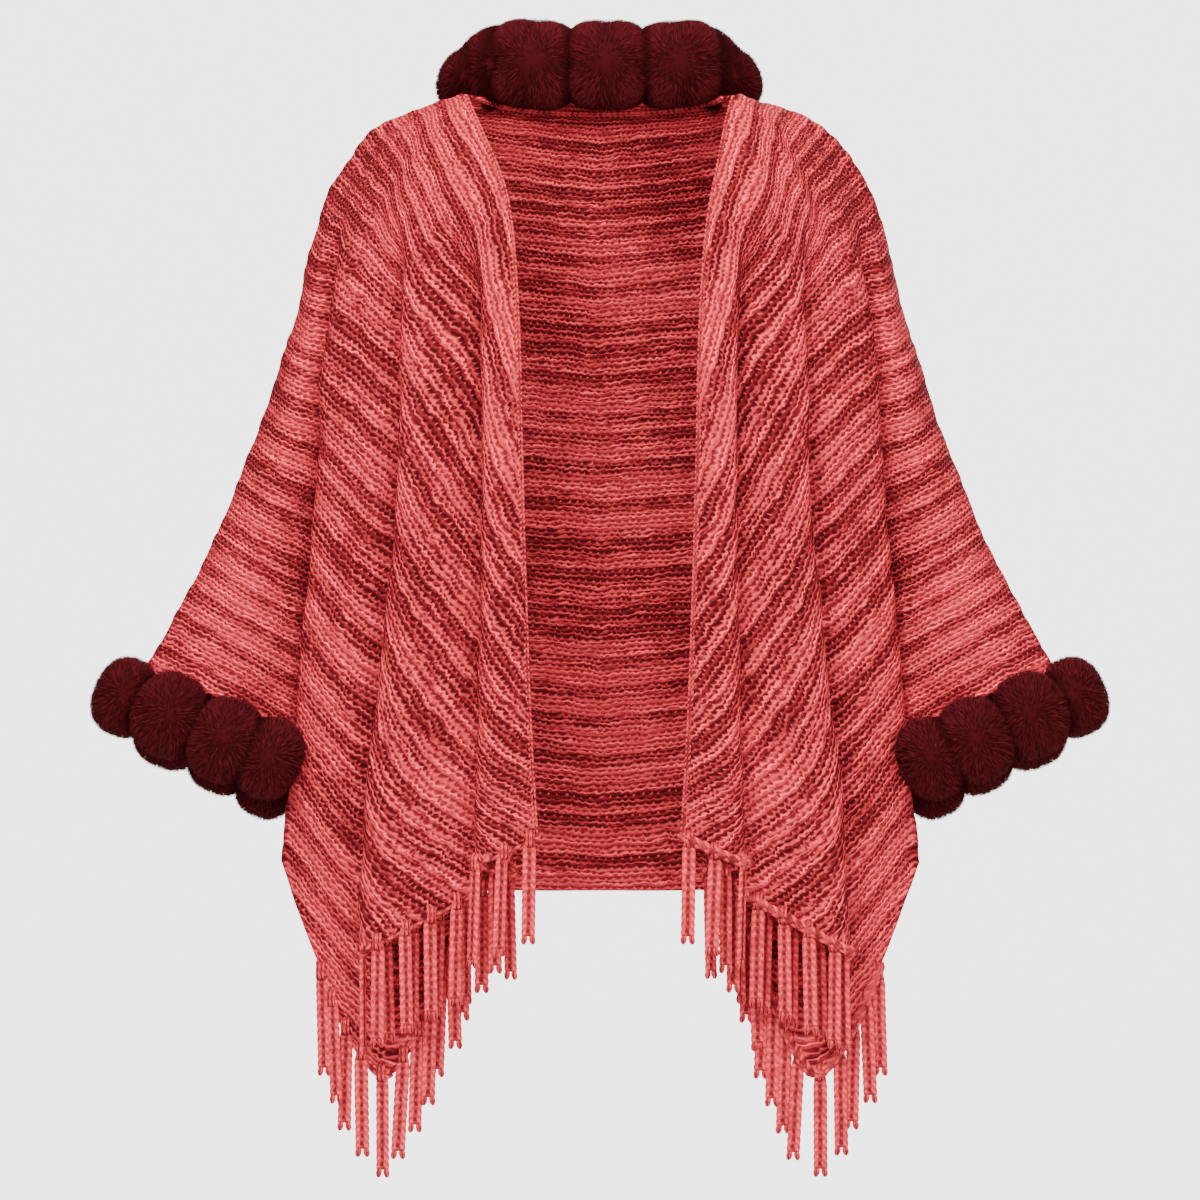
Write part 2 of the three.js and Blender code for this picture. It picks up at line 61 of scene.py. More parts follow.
# Drape lines of the half at +X, the wearer's left: outward, back, up at each station.
DRAPE = {
    "front_edge": [[116, -12, 6], [105, -44, -27], [88, -84, -88], [79, -110, -190],
                   [76, -121, -310], [72.5, -127, -430], [69, -130, -525], [63, -132, -632]],
    "fold_one_ridge": [[117.5, -10, 6.5], [118, -44, -26], [113, -90, -92], [109, -116, -198],
                       [108, -127, -322], [109.5, -132, -448], [111.5, -135, -545],
                       [114.5, -137, -655]],
    "fold_one_valley": [[118, -8.5, 7], [128, -43, -25], [133, -89, -94], [98, -98, -200],
                        [93, -106, -326], [90, -110, -452], [87, -113, -552], [83, -115, -664]],
    "fold_two_ridge": [[118.5, -7, 7.5], [140, -39, -23], [164, -83, -96], [173, -106, -205],
                       [176, -120, -338], [189, -128, -478], [202, -131, -590],
                       [209, -133, -730]],
    "fold_two_valley": [[119, -5, 8], [146, -36, -22], [176, -78, -97], [146, -82, -208],
                        [138, -86, -342], [134, -88, -480], [128, -89, -580], [117, -90, -686]],
    "tip": [[119.5, -3, 8.5], [152, -32, -20], [188, -71, -98], [202, -88, -210],
            [208, -94, -348], [214, -95, -500], [212, -96, -640], [187, -97, -836]],
    "fold_three_ridge": [[120, 1, 9], [162, -22, -19], [211, -52, -98], [236, -66, -212],
                         [244, -70, -340], [256, -71, -465], [262.5, -71, -552],
                         [274, -70, -655]],
    "front_seam": [[120.5, 5, 9], [167, -14, -18], [220, -40, -98], [214, -42, -205],
                   [219, -40, -332], [236, -43, -462], [246, -49, -556], [250, -50, -640]],
    "sleeve_front": [[120, 10, 9], [172, -2, -15], [229, -24, -96], [254, -48, -206],
                     [278, -64, -322], [301, -82, -428], [318, -97, -518]],
    "sleeve_outer": [[118, 20, 9], [179, 13, -11], [231, 6, -69], [268, -6, -200],
                     [302, -26, -302], [346, -46, -407], [393, -62, -493]],
    "sleeve_back": [[114, 30, 9], [171, 37, -15], [226, 48, -88], [256, 46, -200],
                    [284, 28, -310], [312, 0, -424], [324, -27, -529]],
    "back_seam": [[106, 41, 9], [150, 60, -18], [203, 84, -96], [222, 88, -205],
                  [232, 70, -330], [240, 16, -462], [246, -46, -557], [250, 8, -684]],
    "back_middle": [[62, 60, 9], [92, 80, -18], [118, 105, -96], [130, 113, -205],
                    [136, 112, -330], [140, 104, -456], [144, 90, -556], [148, 92, -685]],
    "back_centre": [[0, 68, 9], [0, 86, -18], [0, 109, -98], [0, 117, -206], [0, 118, -330],
                    [0, 116, -456], [0, 113, -560], [0, 109, -686]],
}

# Knitted length across the ridges from the neckline, at the same stations.
KNITTED = {
    "front_edge": [0, 2, 8, 24, 52, 92, 130, 200],
    "fold_one_ridge": [0, 12, 32, 58, 84, 130, 172, 250],
    "fold_one_valley": [0, 18, 50, 84, 118, 170, 212, 278],
    "fold_two_ridge": [0, 30, 88, 142, 200, 268, 318, 393],
    "fold_two_valley": [0, 36, 104, 168, 248, 335, 395, 483],
    "tip": [0, 45, 130, 212, 297, 391, 478, 600],
    "fold_three_ridge": [0, 55, 148, 235, 322, 406, 464, 533],
    "front_seam": [0, 60, 158, 262, 344, 427, 486, 545],
    "sleeve_seam": [0, 60, 158, 265, 382, 510, 605, 700],
    "sleeve_front": [0, 61, 162, 277, 396, 506, 602],
    "sleeve_outer": [0, 66, 146, 284, 394, 512, 615],
    "sleeve_back": [0, 65, 158, 274, 389, 510, 612],
    "back_seam": [0, 55, 153, 264, 385, 507, 600, 700],
    "back_middle": [0, 42, 128, 236, 360, 486, 590, 704],
    "back_centre": [0, 31, 115, 223, 347, 473, 577, 700],
}

# Shares between which each fold forms below the smooth yoke.
FOLD_GROWTH = {
    "fold_one_ridge": (0.2, 0.36), "fold_one_valley": (0.2, 0.36),
    "fold_two_ridge": (0.18, 0.34), "fold_two_valley": (0.18, 0.34),
    "fold_three_ridge": (0.16, 0.34), "front_seam": (0.16, 0.34),
}
OPENING_SHIFT = 8.0             # millimetres by which the opening stands off centre
SHIFT_SHARE = {
    "front_edge": 1.0, "fold_one_ridge": 1.0, "fold_one_valley": 1.0,
    "fold_two_ridge": 0.4, "fold_two_valley": 0.4,
}

FRONT_LINES = ("front_edge", "fold_one_ridge", "fold_one_valley", "fold_two_ridge",
               "fold_two_valley", "tip", "fold_three_ridge", "front_seam")
SLEEVE_LINES = ("front_seam", "sleeve_front", "sleeve_outer", "sleeve_back", "back_seam")
BACK_LINES = ("back_seam", "back_middle", "back_centre")
FRONT_COLUMNS = (14, 22, 34, 30, 26, 24, 16)
SLEEVE_COLUMNS = (22, 26, 26, 22)
BACK_COLUMNS = (38, 42)
UPPER_ROWS = 150                # rows of mesh from the neck to the cuff
LOWER_ROWS = 40                 # rows of mesh from the cuff to the hem

FOLD_RADIUS = 7.0
SLEEVE_TURN = 1.35              # radians by which the sleeve leaves the front seam outward
BACK_WAVE = 6.0
BACK_WAVE_PITCH = 92.0
BACK_WAVE_FADE = (120, 215)     # millimetres off centre between which the waves fade out
ROW_GROWTH = 1.12               # power by which the rows grow taller down to the cuff
TIP_STRETCH = FRONT_LINES.index("tip")
FRINGE_END = 0.5                # share of the stretch past the tip at which the fringe ends
HEM_OFFSET = 3.0                # millimetres by which the hem's chain stands out
NECK_OFFSET = 2.2               # millimetres by which the neck's chain stands in
NECK_REACH = 107.0              # half of the neck's width
NECK_LOW = -3.0                 # height of the neck's chain in the middle
NECK_RISE = 12.0                # how much higher it is at its ends

SEED = {"back": 1, "front": 2, "sleeve": 3, "collar": 5, "cuff": 7, "fringe": 11, "ridges": 21}
COLLAR_STRANDS = 60000
CUFF_STRANDS = 30000


class Side(Enum):
    """Side of the garment, with the sign of its X and its name in the frame."""

    LEFT = (1, "left")
    RIGHT = (-1, "right")

    @property
    def sign(self) -> int:
        """Sign of X on this side."""
        return self.value[0]

    @property
    def word(self) -> str:
        """The side's word in piece and node names."""
        return self.value[1]


def ease(value: Array, start: float, end: float) -> Array:
    """Smooth step: three times the square of the share less twice its cube.

    Args:
        value: Values to judge.
        start: Value at which the step is 0.
        end: Value at which it is 1.

    Returns:
        Array of shares from 0 to 1.
    """
    share = np.clip((np.asarray(value, float) - start) / (end - start), 0.0, 1.0)
    return share * share * (3.0 - 2.0 * share)


def hermite(start: Array, start_slope: Array, end: Array, end_slope: Array, place: Array) -> Array:
    """Cubic curve between two points with a slope at each.

    Args:
        start: First points.
        start_slope: Slopes at the first points, for the whole stretch.
        end: Last points.
        end_slope: Slopes at the last points.
        place: Place along the stretch, from 0 to 1.

    Returns:
        Array of points.
    """
    square = place * place
    cube = square * place
    return ((2 * cube - 3 * square + 1) * start + (cube - 2 * square + place) * start_slope
            + (3 * square - 2 * cube) * end + (cube - square) * end_slope)


def smooth_along(knots: Array, values: Array, shares: Array) -> Array:
    """Smooth curve through values at uneven knots.

    The slope at a knot is the mean of the slopes on both sides, each weighted by the length of
    the other side.

    Args:
        knots: Rising knot places, (k,).
        values: Values at the knots, (k, m).
        shares: Places to work out, (n,).

    Returns:
        Array (n, m) of values.
    """
    spans = np.diff(knots)[:, None]
    slopes = np.diff(values, axis=0) / spans
    tangents = np.empty_like(values)
    tangents[0], tangents[-1] = slopes[0], slopes[-1]
    tangents[1:-1] = (slopes[:-1] * spans[1:] + slopes[1:] * spans[:-1]) / (spans[1:] + spans[:-1])
    part = np.clip(np.searchsorted(knots, shares, side="right") - 1, 0, len(knots) - 2)
    span = spans[part]
    place = (shares - knots[part])[:, None] / span
    return hermite(values[part], tangents[part] * span, values[part + 1],
                   tangents[part + 1] * span, place)


def unit(vectors: Array) -> Array:
    """Vectors scaled to length 1 along the last axis."""
    return vectors / np.maximum(np.linalg.norm(vectors, axis=-1, keepdims=True), 1e-9)


def path_lengths(path: Array) -> Array:
    """Length from the start of a path to each of its points."""
    return np.concatenate([[0], np.cumsum(np.linalg.norm(np.diff(path, axis=0), axis=1))])


def path_values(lengths: Array, values: Array, places: Array) -> Array:
    """Values at places along a path, from those at its points."""
    return np.stack([np.interp(places, lengths, column) for column in values.T], axis=1)


def grid_normals(points: Array) -> Array:
    """Unit normals of a grid of points by central differences.

    Args:
        points: Grid (rows, columns, 3).

    Returns:
        Array (rows, columns, 3).
    """
    down = np.gradient(points, axis=0)
    right = np.gradient(points, axis=1)
    return unit(np.cross(down, right))


class Cape:
    """Surface of the cape: sections through the drape lines, with the knitted length on it."""

    def __init__(self) -> None:
        upper = STATION["cuff"] * np.linspace(0, 1, UPPER_ROWS + 1) ** ROW_GROWTH
        lower = np.linspace(STATION["cuff"], STATION["hem"], LOWER_ROWS + 1)[1:]
        self.shares = np.concatenate([upper, lower])
        self.sleeve_shares = upper

    @staticmethod
    def knitted_name(name: str, part: str) -> str:
        """Knitted lengths that a line has on a part: the sleeve counts its own at the front seam."""
        return "sleeve_seam" if part == "sleeve" and name == "front_seam" else name

    def line(self, name: str, shares: Array, side: Side, part: str = "") -> Array:
        """Points of one drape line of the half at +X, with the knitted length as a fourth value.

        Args:
            name: Drape line.
            shares: Places down the line.
            side: Side, for the shift of the front opening.
            part: Part of the garment, where it matters for the knitted length.

        Returns:
            Array (n, 4).
        """
        knitted = KNITTED[self.knitted_name(name, part)]
        table = np.column_stack([np.array(DRAPE[name], float), np.array(knitted, float)])
        knots = np.array(list(STATION.values()))[: len(table)]
        points = smooth_along(knots, table, np.minimum(shares, knots[-1]))
        shift = side.sign * OPENING_SHIFT * SHIFT_SHARE.get(name, 0.0)
        points[:, 0] += shift * ease(shares, 0.0, STATION["yoke"])
        return points

    def section_grid(self, lines: tuple, columns: tuple, shares: Array, side: Side,
                     start: Array | None = None, end: Array | None = None,
                     turn: Array | None = None, part: str = "") -> Array:
        """Grid of a panel, one section across the lines in each row.

        Args:
            lines: Drape lines in order.
            columns: Columns of mesh between neighbouring lines.
            shares: Place of each row.
            side: Side of the garment.
            start: Direction at the first line, one for each row.
            end: Direction at the last line, one for each row.
            turn: Turn of a fold's direction at the first line, in radians.
            part: Part of the garment.

        Returns:
            Array (rows, columns, 4).
        """
        points = [self.line(name, shares, side, part) for name in lines]
        blocks = [points[0][:, None, :]]
        for stretch, count in enumerate(columns):
            slopes = [
                self.section_slope(lines, points, line, stretch, shares, start, end, turn)
                for line in (stretch, stretch + 1)
            ]
            place = (np.arange(1, count + 1) / count)[None, :, None]
            blocks.append(hermite(points[stretch][:, None, :], slopes[0][:, None, :],
                                  points[stretch + 1][:, None, :], slopes[1][:, None, :], place))
        return np.concatenate(blocks, axis=1)

    @staticmethod
    def section_slope(lines: tuple, points: list, line: int, stretch: int, shares: Array,
                      start: Array | None, end: Array | None, turn: Array | None) -> Array:
        """Slope of a section at a line, for the stretch on one side of it.

        Smooth cloth takes the direction between the neighbouring lines. A fold turns straight
        back or forward, by the square root of six times its radius times the stretch's width.

        Args:
            lines: Drape lines in order.
            points: Points of the lines.
            line: Line at which the slope is wanted.
            stretch: Stretch that the slope is for.
            shares: Place of each row.
            start: Direction at the first line.
            end: Direction at the last line.
            turn: Turn of a fold's direction at the first line.

        Returns:
            Array (rows, 4).
        """
        def length(a: int, b: int) -> Array:
            return np.linalg.norm(points[a][:, :3] - points[b][:, :3], axis=1)[:, None]

        last = len(points) - 1
        before, after = max(line - 1, 0), min(line + 1, last)
        span = length(stretch, stretch + 1)
        around = length(before, line) + length(after, line)
        smooth = (points[after] - points[before]) * span / around
        if line == 0 and start is not None:
            smooth[:, :3] = start * span
        if line == last and end is not None:
            smooth[:, :3] = end * span
        growth = FOLD_GROWTH.get(lines[line])
        if growth is None:
            return smooth
        fold = ease(shares, *growth)[:, None]
        across = np.abs(points[stretch + 1][:, 0] - points[stretch][:, 0])
        depth = np.sqrt(6.0 * FOLD_RADIUS * across)
        angle = turn if line == 0 and turn is not None else np.zeros(len(shares))
        turned = np.column_stack([-np.sin(angle) * depth, np.cos(angle) * depth,
                                  np.zeros(len(shares))])
        smooth[:, :3] = smooth[:, :3] * (1.0 - fold) + turned * fold
        return smooth

    def back_directions(self, shares: Array, side: Side) -> tuple:
        """Directions of the cloth as it reaches and as it leaves the back seam.

        Args:
            shares: Place of each row.
            side: Side of the garment.

        Returns:
            Tuple of two arrays (rows, 3).
        """
        seam = self.line("back_seam", shares, side)[:, :3]
        sleeve = self.line("sleeve_back", np.minimum(shares, STATION["cuff"]), side)[:, :3]
        back = self.line("back_middle", shares, side)[:, :3]
        across = unit(back - sleeve)
        apart = ease(shares, STATION["waist"], STATION["cuff"])[:, None]
        inward = np.array([[-1.0, 0.0, 0.0]])
        arriving = unit(across * (1 - apart) + inward * apart)
        leaving = unit(across * (1 - apart) + unit(back - seam) * apart)
        return arriving, leaving

    def front(self, side: Side) -> Array:
        """Grid of a front on its own side."""
        return self.mirrored(self.section_grid(FRONT_LINES, FRONT_COLUMNS, self.shares, side), side)

    def sleeve(self, side: Side) -> Array:
        """Grid of a sleeve on its own side."""
        shares = self.sleeve_shares
        turn = -SLEEVE_TURN * ease(shares, STATION["bust"], STATION["cuff"])
        arriving = self.back_directions(shares, side)[0]
        return self.mirrored(self.section_grid(SLEEVE_LINES, SLEEVE_COLUMNS, shares, side,
                                               end=arriving, turn=turn, part="sleeve"), side)

    def back(self) -> Array:
        """Grid of the back from the left seam to the right seam, with its soft waves."""
        shares = self.shares
        leaving = self.back_directions(shares, Side.LEFT)[1]
        inward = np.repeat([[-1.0, 0.0, 0.0]], len(shares), axis=0)
        half = self.section_grid(BACK_LINES, BACK_COLUMNS, shares, Side.LEFT,
                                 start=leaving, end=inward)
        depth = BACK_WAVE * ease(shares, STATION["yoke"], STATION["hem"])[:, None]
        fade = 1.0 - ease(np.abs(half[..., 0]), *BACK_WAVE_FADE)
        half[..., 1] += depth * fade * np.cos(2 * np.pi * half[..., 0] / BACK_WAVE_PITCH)
        other = half[:, -2::-1] * np.array([-1.0, 1.0, 1.0, 1.0])
        return np.concatenate([half, other], axis=1)

    @staticmethod
    def mirrored(grid: Array, side: Side) -> Array:
        """Grid of the half at +X moved to its own side."""
        return grid * np.array([side.sign, 1.0, 1.0, 1.0])


def stitch_places(points: Array, knitted: Array, step: int = 5) -> Array:
    """Length along the ridges at each point of a panel.

    It is worked out on a coarse grid, as the field whose change along each mesh edge best
    fits that edge's length along the ridges.

    Args:
        points: Grid (rows, columns, 3).
        knitted: Knitted length across the ridges, (rows, columns).
        step: Rows and columns of the panel for each one of the coarse grid.

    Returns:
        Array (rows, columns) in millimetres.
    """
    rows, columns = knitted.shape
    row_knots = np.unique(np.append(np.arange(0, rows, step), rows - 1))
    column_knots = np.unique(np.append(np.arange(0, columns, step), columns - 1))
    coarse = points[np.ix_(row_knots, column_knots)]
    lengths = knitted[np.ix_(row_knots, column_knots)]
    down, right = np.gradient(coarse, axis=0), np.gradient(coarse, axis=1)
    down_change, right_change = np.gradient(lengths, axis=0), np.gradient(lengths, axis=1)
    dd, dr, rr = ((down * down).sum(-1), (down * right).sum(-1), (right * right).sum(-1))
    area = np.maximum(dd * rr - dr * dr, 1e-6)
    gradient = (((rr * down_change - dr * right_change) / area)[..., None] * down
                + ((dd * right_change - dr * down_change) / area)[..., None] * right)
    along = np.cross(unit(np.cross(down, right)), unit(gradient))
    count = coarse.shape[0] * coarse.shape[1]
    index = np.arange(count).reshape(coarse.shape[:2])
    edges = np.concatenate([
        np.stack([index[:-1].ravel(), index[1:].ravel()], 1),
        np.stack([index[:, :-1].ravel(), index[:, 1:].ravel()], 1),
    ])
    flat_points, flat_along = coarse.reshape(-1, 3), along.reshape(-1, 3)
    wanted = (0.5 * (flat_along[edges[:, 0]] + flat_along[edges[:, 1]])
              * (flat_points[edges[:, 1]] - flat_points[edges[:, 0]])).sum(1)
    system = np.zeros((count, count))
    np.add.at(system, (edges[:, 0], edges[:, 0]), 1.0)
    np.add.at(system, (edges[:, 1], edges[:, 1]), 1.0)
    np.add.at(system, (edges[:, 0], edges[:, 1]), -1.0)
    np.add.at(system, (edges[:, 1], edges[:, 0]), -1.0)
    known = np.zeros(count)
    np.add.at(known, edges[:, 0], -wanted)
    np.add.at(known, edges[:, 1], wanted)
    system[0, 0] += 1.0
    solved = np.linalg.solve(system, known).reshape(coarse.shape[:2])
    return spread(solved, row_knots, column_knots, rows, columns)


def spread(values: Array, row_knots: Array, column_knots: Array, rows: int, columns: int) -> Array:
    """Values of a coarse grid at every row and column of a fine one.

    Args:
        values: Coarse grid.
        row_knots: Fine row of each coarse row.
        column_knots: Fine column of each coarse column.
        rows: Rows of the fine grid.
        columns: Columns of the fine grid.

    Returns:
        Array (rows, columns).
    """
    def weights(knots: Array, count: int) -> Array:
        places = np.arange(count)
        return np.stack([np.interp(places, knots, row) for row in np.eye(len(knots))], axis=1)

    return weights(row_knots, rows) @ values @ weights(column_knots, columns).T


def grid_faces(rows: int, columns: int, offset: int = 0, closed: bool = False) -> Array:
    """Quads of a grid, in rows.

    Args:
        rows: Rows of points.
        columns: Columns of points.
        offset: Index of the first point.
        closed: Whether the last column joins the first.

    Returns:
        Array (n, 4) of indices.
    """
    index = offset + np.arange(rows * columns).reshape(rows, columns)
    nearer = np.concatenate([index, index[:, :1]], axis=1) if closed else index
    return np.stack([nearer[:-1, :-1], nearer[:-1, 1:], nearer[1:, 1:], nearer[1:, :-1]],
                    axis=-1).reshape(-1, 4)


def outward(points: Array, faces: list) -> list:
    """Faces of a closed mesh, turned so that they point out of it."""
    volume = 0.0
    for block in faces:
        corners = points[block]
        fan = np.cross(corners[:, 1], corners[:, 2])
        volume += (corners[:, 0] * fan).sum()
        if block.shape[1] == 4:
            volume += (corners[:, 0] * np.cross(corners[:, 2], corners[:, 3])).sum()
    return faces if volume > 0 else [block[:, ::-1] for block in faces]


def make_object(name: str, points: Array, faces: list, material: bpy.types.Material,
                places: Array | None = None, levels: Array | None = None,
                normals: Array | None = None) -> bpy.types.Object:
    """Mesh object in the scene from arrays in millimetres.

    Args:
        name: Piece name.
        points: Vertices (n, 3) in millimetres.
        faces: Arrays of faces, each with its own number of corners.
        material: Finish of the piece.
        places: Texture places (n, 2), or None for a piece without any.
        levels: Ridge level of each vertex, or None for a piece that isn't panel cloth.
        normals: Shading normal of each vertex, or None for those of the faces.

    Returns:
        The object.
    """
    mesh = bpy.data.meshes.new(name)
    counts = np.concatenate([np.full(len(block), block.shape[1]) for block in faces])
    corners = np.concatenate([block.ravel() for block in faces]).astype(np.int32)
    mesh.vertices.add(len(points))
    mesh.vertices.foreach_set("co", (points * MM).astype(np.float32).ravel())
    mesh.loops.add(len(corners))
    mesh.loops.foreach_set("vertex_index", corners)
    mesh.polygons.add(len(counts))
    starts = np.concatenate([[0], np.cumsum(counts)[:-1]]).astype(np.int32)
    mesh.polygons.foreach_set("loop_start", starts)
    mesh.update(calc_edges=True)
    mesh.polygons.foreach_set("use_smooth", np.ones(len(counts), bool))
    if places is not None:
        layer = mesh.uv_layers.new(name="places")
        layer.data.foreach_set("uv", places[corners].astype(np.float32).ravel())
    if levels is not None:
        made = mesh.attributes.new("level", "FLOAT", "POINT")
        made.data.foreach_set("value", levels.astype(np.float32).ravel())
    if normals is not None:
        mesh.normals_split_custom_set_from_vertices(normals.astype(np.float32))
    mesh.materials.append(material)
    piece = bpy.data.objects.new(name, mesh)
    bpy.context.scene.collection.objects.link(piece)
    log.info("%s: %d triangles", name, int((counts - 2).sum()))
    return piece


class Graph:
    """Small helper that adds and joins shader nodes in one tree."""

    def __init__(self, tree: bpy.types.NodeTree) -> None:
        self.tree = tree

    def node(self, kind: str, **settings: object) -> bpy.types.Node:
        """Node of a kind with its properties set."""
        made = self.tree.nodes.new(kind)
        for key, value in settings.items():
            setattr(made, key, value)
        return made

    def link(self, source: object, target: object) -> None:
        """Join an output to an input, or set the input to a plain value."""
        if isinstance(source, bpy.types.NodeSocket):
            self.tree.links.new(source, target)
        else:
            target.default_value = source

    def math(self, operation: str, *values: object) -> bpy.types.NodeSocket:
        """Output of a math node on sockets or numbers."""
        made = self.node("ShaderNodeMath", operation=operation)
        for value, socket in zip(values, made.inputs):
            self.link(value, socket)
        return made.outputs[0]

    def times(self, value: object, share: object) -> bpy.types.NodeSocket:
        """Product of two values."""
        return self.math("MULTIPLY", value, share)

    def minus(self, value: object, less: object) -> bpy.types.NodeSocket:
        """First value less the second."""
        return self.math("SUBTRACT", value, less)

    def ramp(self, value: object, slope: object, start: object) -> bpy.types.NodeSocket:
        """Value times a slope, plus a start."""
        return self.math("MULTIPLY_ADD", value, slope, start)

    def added(self, start: object, *shares: tuple) -> bpy.types.NodeSocket:
        """Start plus each value times its share."""
        for value, share in shares:
            start = self.ramp(value, share, start)
        return start

    def uneven(self, place: object, scale: float, detail: float) -> bpy.types.NodeSocket:
        """Noise around 0."""
        return self.minus(self.noise(place, scale, detail), 0.5)

    def mix(self, share: object, first: object, second: object) -> bpy.types.NodeSocket:
        """Colour between two colours by a share."""
        made = self.node("ShaderNodeMix", data_type="RGBA")
        self.link(share, made.inputs["Factor"])
        self.link(first, made.inputs[6])
        self.link(second, made.inputs[7])
        return made.outputs[2]

    def noise(self, place: object, scale: float, detail: float = 2.0,
              roughness: float = 0.5) -> bpy.types.NodeSocket:
        """Value of a noise texture at a place."""
        made = self.node("ShaderNodeTexNoise")
        self.link(place, made.inputs["Vector"])
        made.inputs["Scale"].default_value = scale
        made.inputs["Detail"].default_value = detail
        made.inputs["Roughness"].default_value = roughness
        return made.outputs["Fac"]

    def scaled(self, place: object, share: float) -> bpy.types.NodeSocket:
        """Place with its first length scaled, which stretches a noise along the ridges."""
        made = self.node("ShaderNodeVectorMath", operation="MULTIPLY")
        self.link(place, made.inputs[0])
        made.inputs[1].default_value = (share, 1.0, 1.0)
        return made.outputs[0]

    def step(self, value: object, low: float, high: float) -> bpy.types.NodeSocket:
        """Smooth step of a value between two others."""
        made = self.node("ShaderNodeMapRange", interpolation_type="SMOOTHSTEP")
        self.link(value, made.inputs["Value"])
        made.inputs["From Min"].default_value = low
        made.inputs["From Max"].default_value = high
        return made.outputs["Result"]


def group_tree(name: str, inputs: dict, outputs: dict) -> tuple:
    """New node group with its sockets.

    Args:
        name: Name of the group.
        inputs: Socket kind for each input name.
        outputs: Socket kind for each output name.

    Returns:
        Tuple of the tree, its helper, its input node and its output node.
    """
    tree = bpy.data.node_groups.new(name, "ShaderNodeTree")
    for label, kind in inputs.items():
        tree.interface.new_socket(label, in_out="INPUT", socket_type=kind)
    for label, kind in outputs.items():
        tree.interface.new_socket(label, in_out="OUTPUT", socket_type=kind)
    graph = Graph(tree)
    return tree, graph, graph.node("NodeGroupInput"), graph.node("NodeGroupOutput")


class Surface:
    """Material under work, with its shader, its helper and its texture places."""

    def __init__(self, name: str, roughness: float, specular: float) -> None:
        self.material = bpy.data.materials.new(name)
        self.material.use_nodes = True
        self.graph = Graph(self.material.node_tree)
        self.shader = self.material.node_tree.nodes["Principled BSDF"]
        self.shader.inputs["Roughness"].default_value = roughness
        self.shader.inputs["Specular IOR Level"].default_value = specular

    def places(self) -> bpy.types.NodeSocket:
        """Texture places of the piece."""
        return self.graph.node("ShaderNodeUVMap", uv_map="places").outputs["UV"]

    def lengths(self) -> tuple:
        """The two texture lengths of the piece, each on its own."""
        apart = self.graph.node("ShaderNodeSeparateXYZ")
        self.graph.link(self.places(), apart.inputs[0])
        return apart.outputs["X"], apart.outputs["Y"]

    def solid_noise(self, scale: float) -> bpy.types.NodeSocket:
        """Noise that is fixed in the garment."""
        place = self.graph.node("ShaderNodeTexCoord").outputs["Object"]
        return self.graph.noise(place, scale, 2.0)

    def pattern(self, tree: bpy.types.NodeTree) -> bpy.types.Node:
        """Node of a pattern group at the piece's texture places."""
        made = self.graph.node("ShaderNodeGroup", node_tree=tree)
        self.graph.link(self.places(), made.inputs["Place"])
        return made

    def finished(self, colour: bpy.types.NodeSocket, height: bpy.types.NodeSocket | None = None,
                 relief: float = 0.0) -> bpy.types.Material:
        """The material with its colour and its relief.

        Args:
            colour: Colour of the surface.
            height: Height from 0 to 1, or None for a surface without relief.
            relief: Millimetres from the lowest to the highest place.

        Returns:
            The material.
        """
        self.graph.link(colour, self.shader.inputs["Base Color"])
        if height is not None:
            bump = self.graph.node("ShaderNodeBump")
            bump.inputs["Strength"].default_value = 1.0
            bump.inputs["Distance"].default_value = relief * MM
            self.graph.link(height, bump.inputs["Height"])
            self.graph.link(bump.outputs["Normal"], self.shader.inputs["Normal"])
        return self.material


RIDGE_PITCH = 8.6               # millimetres from ridge to ridge
STITCH_PITCH = 6.4              # millimetres from stitch to stitch along a ridge
VECTOR, FLOAT = "NodeSocketVector", "NodeSocketFloat"


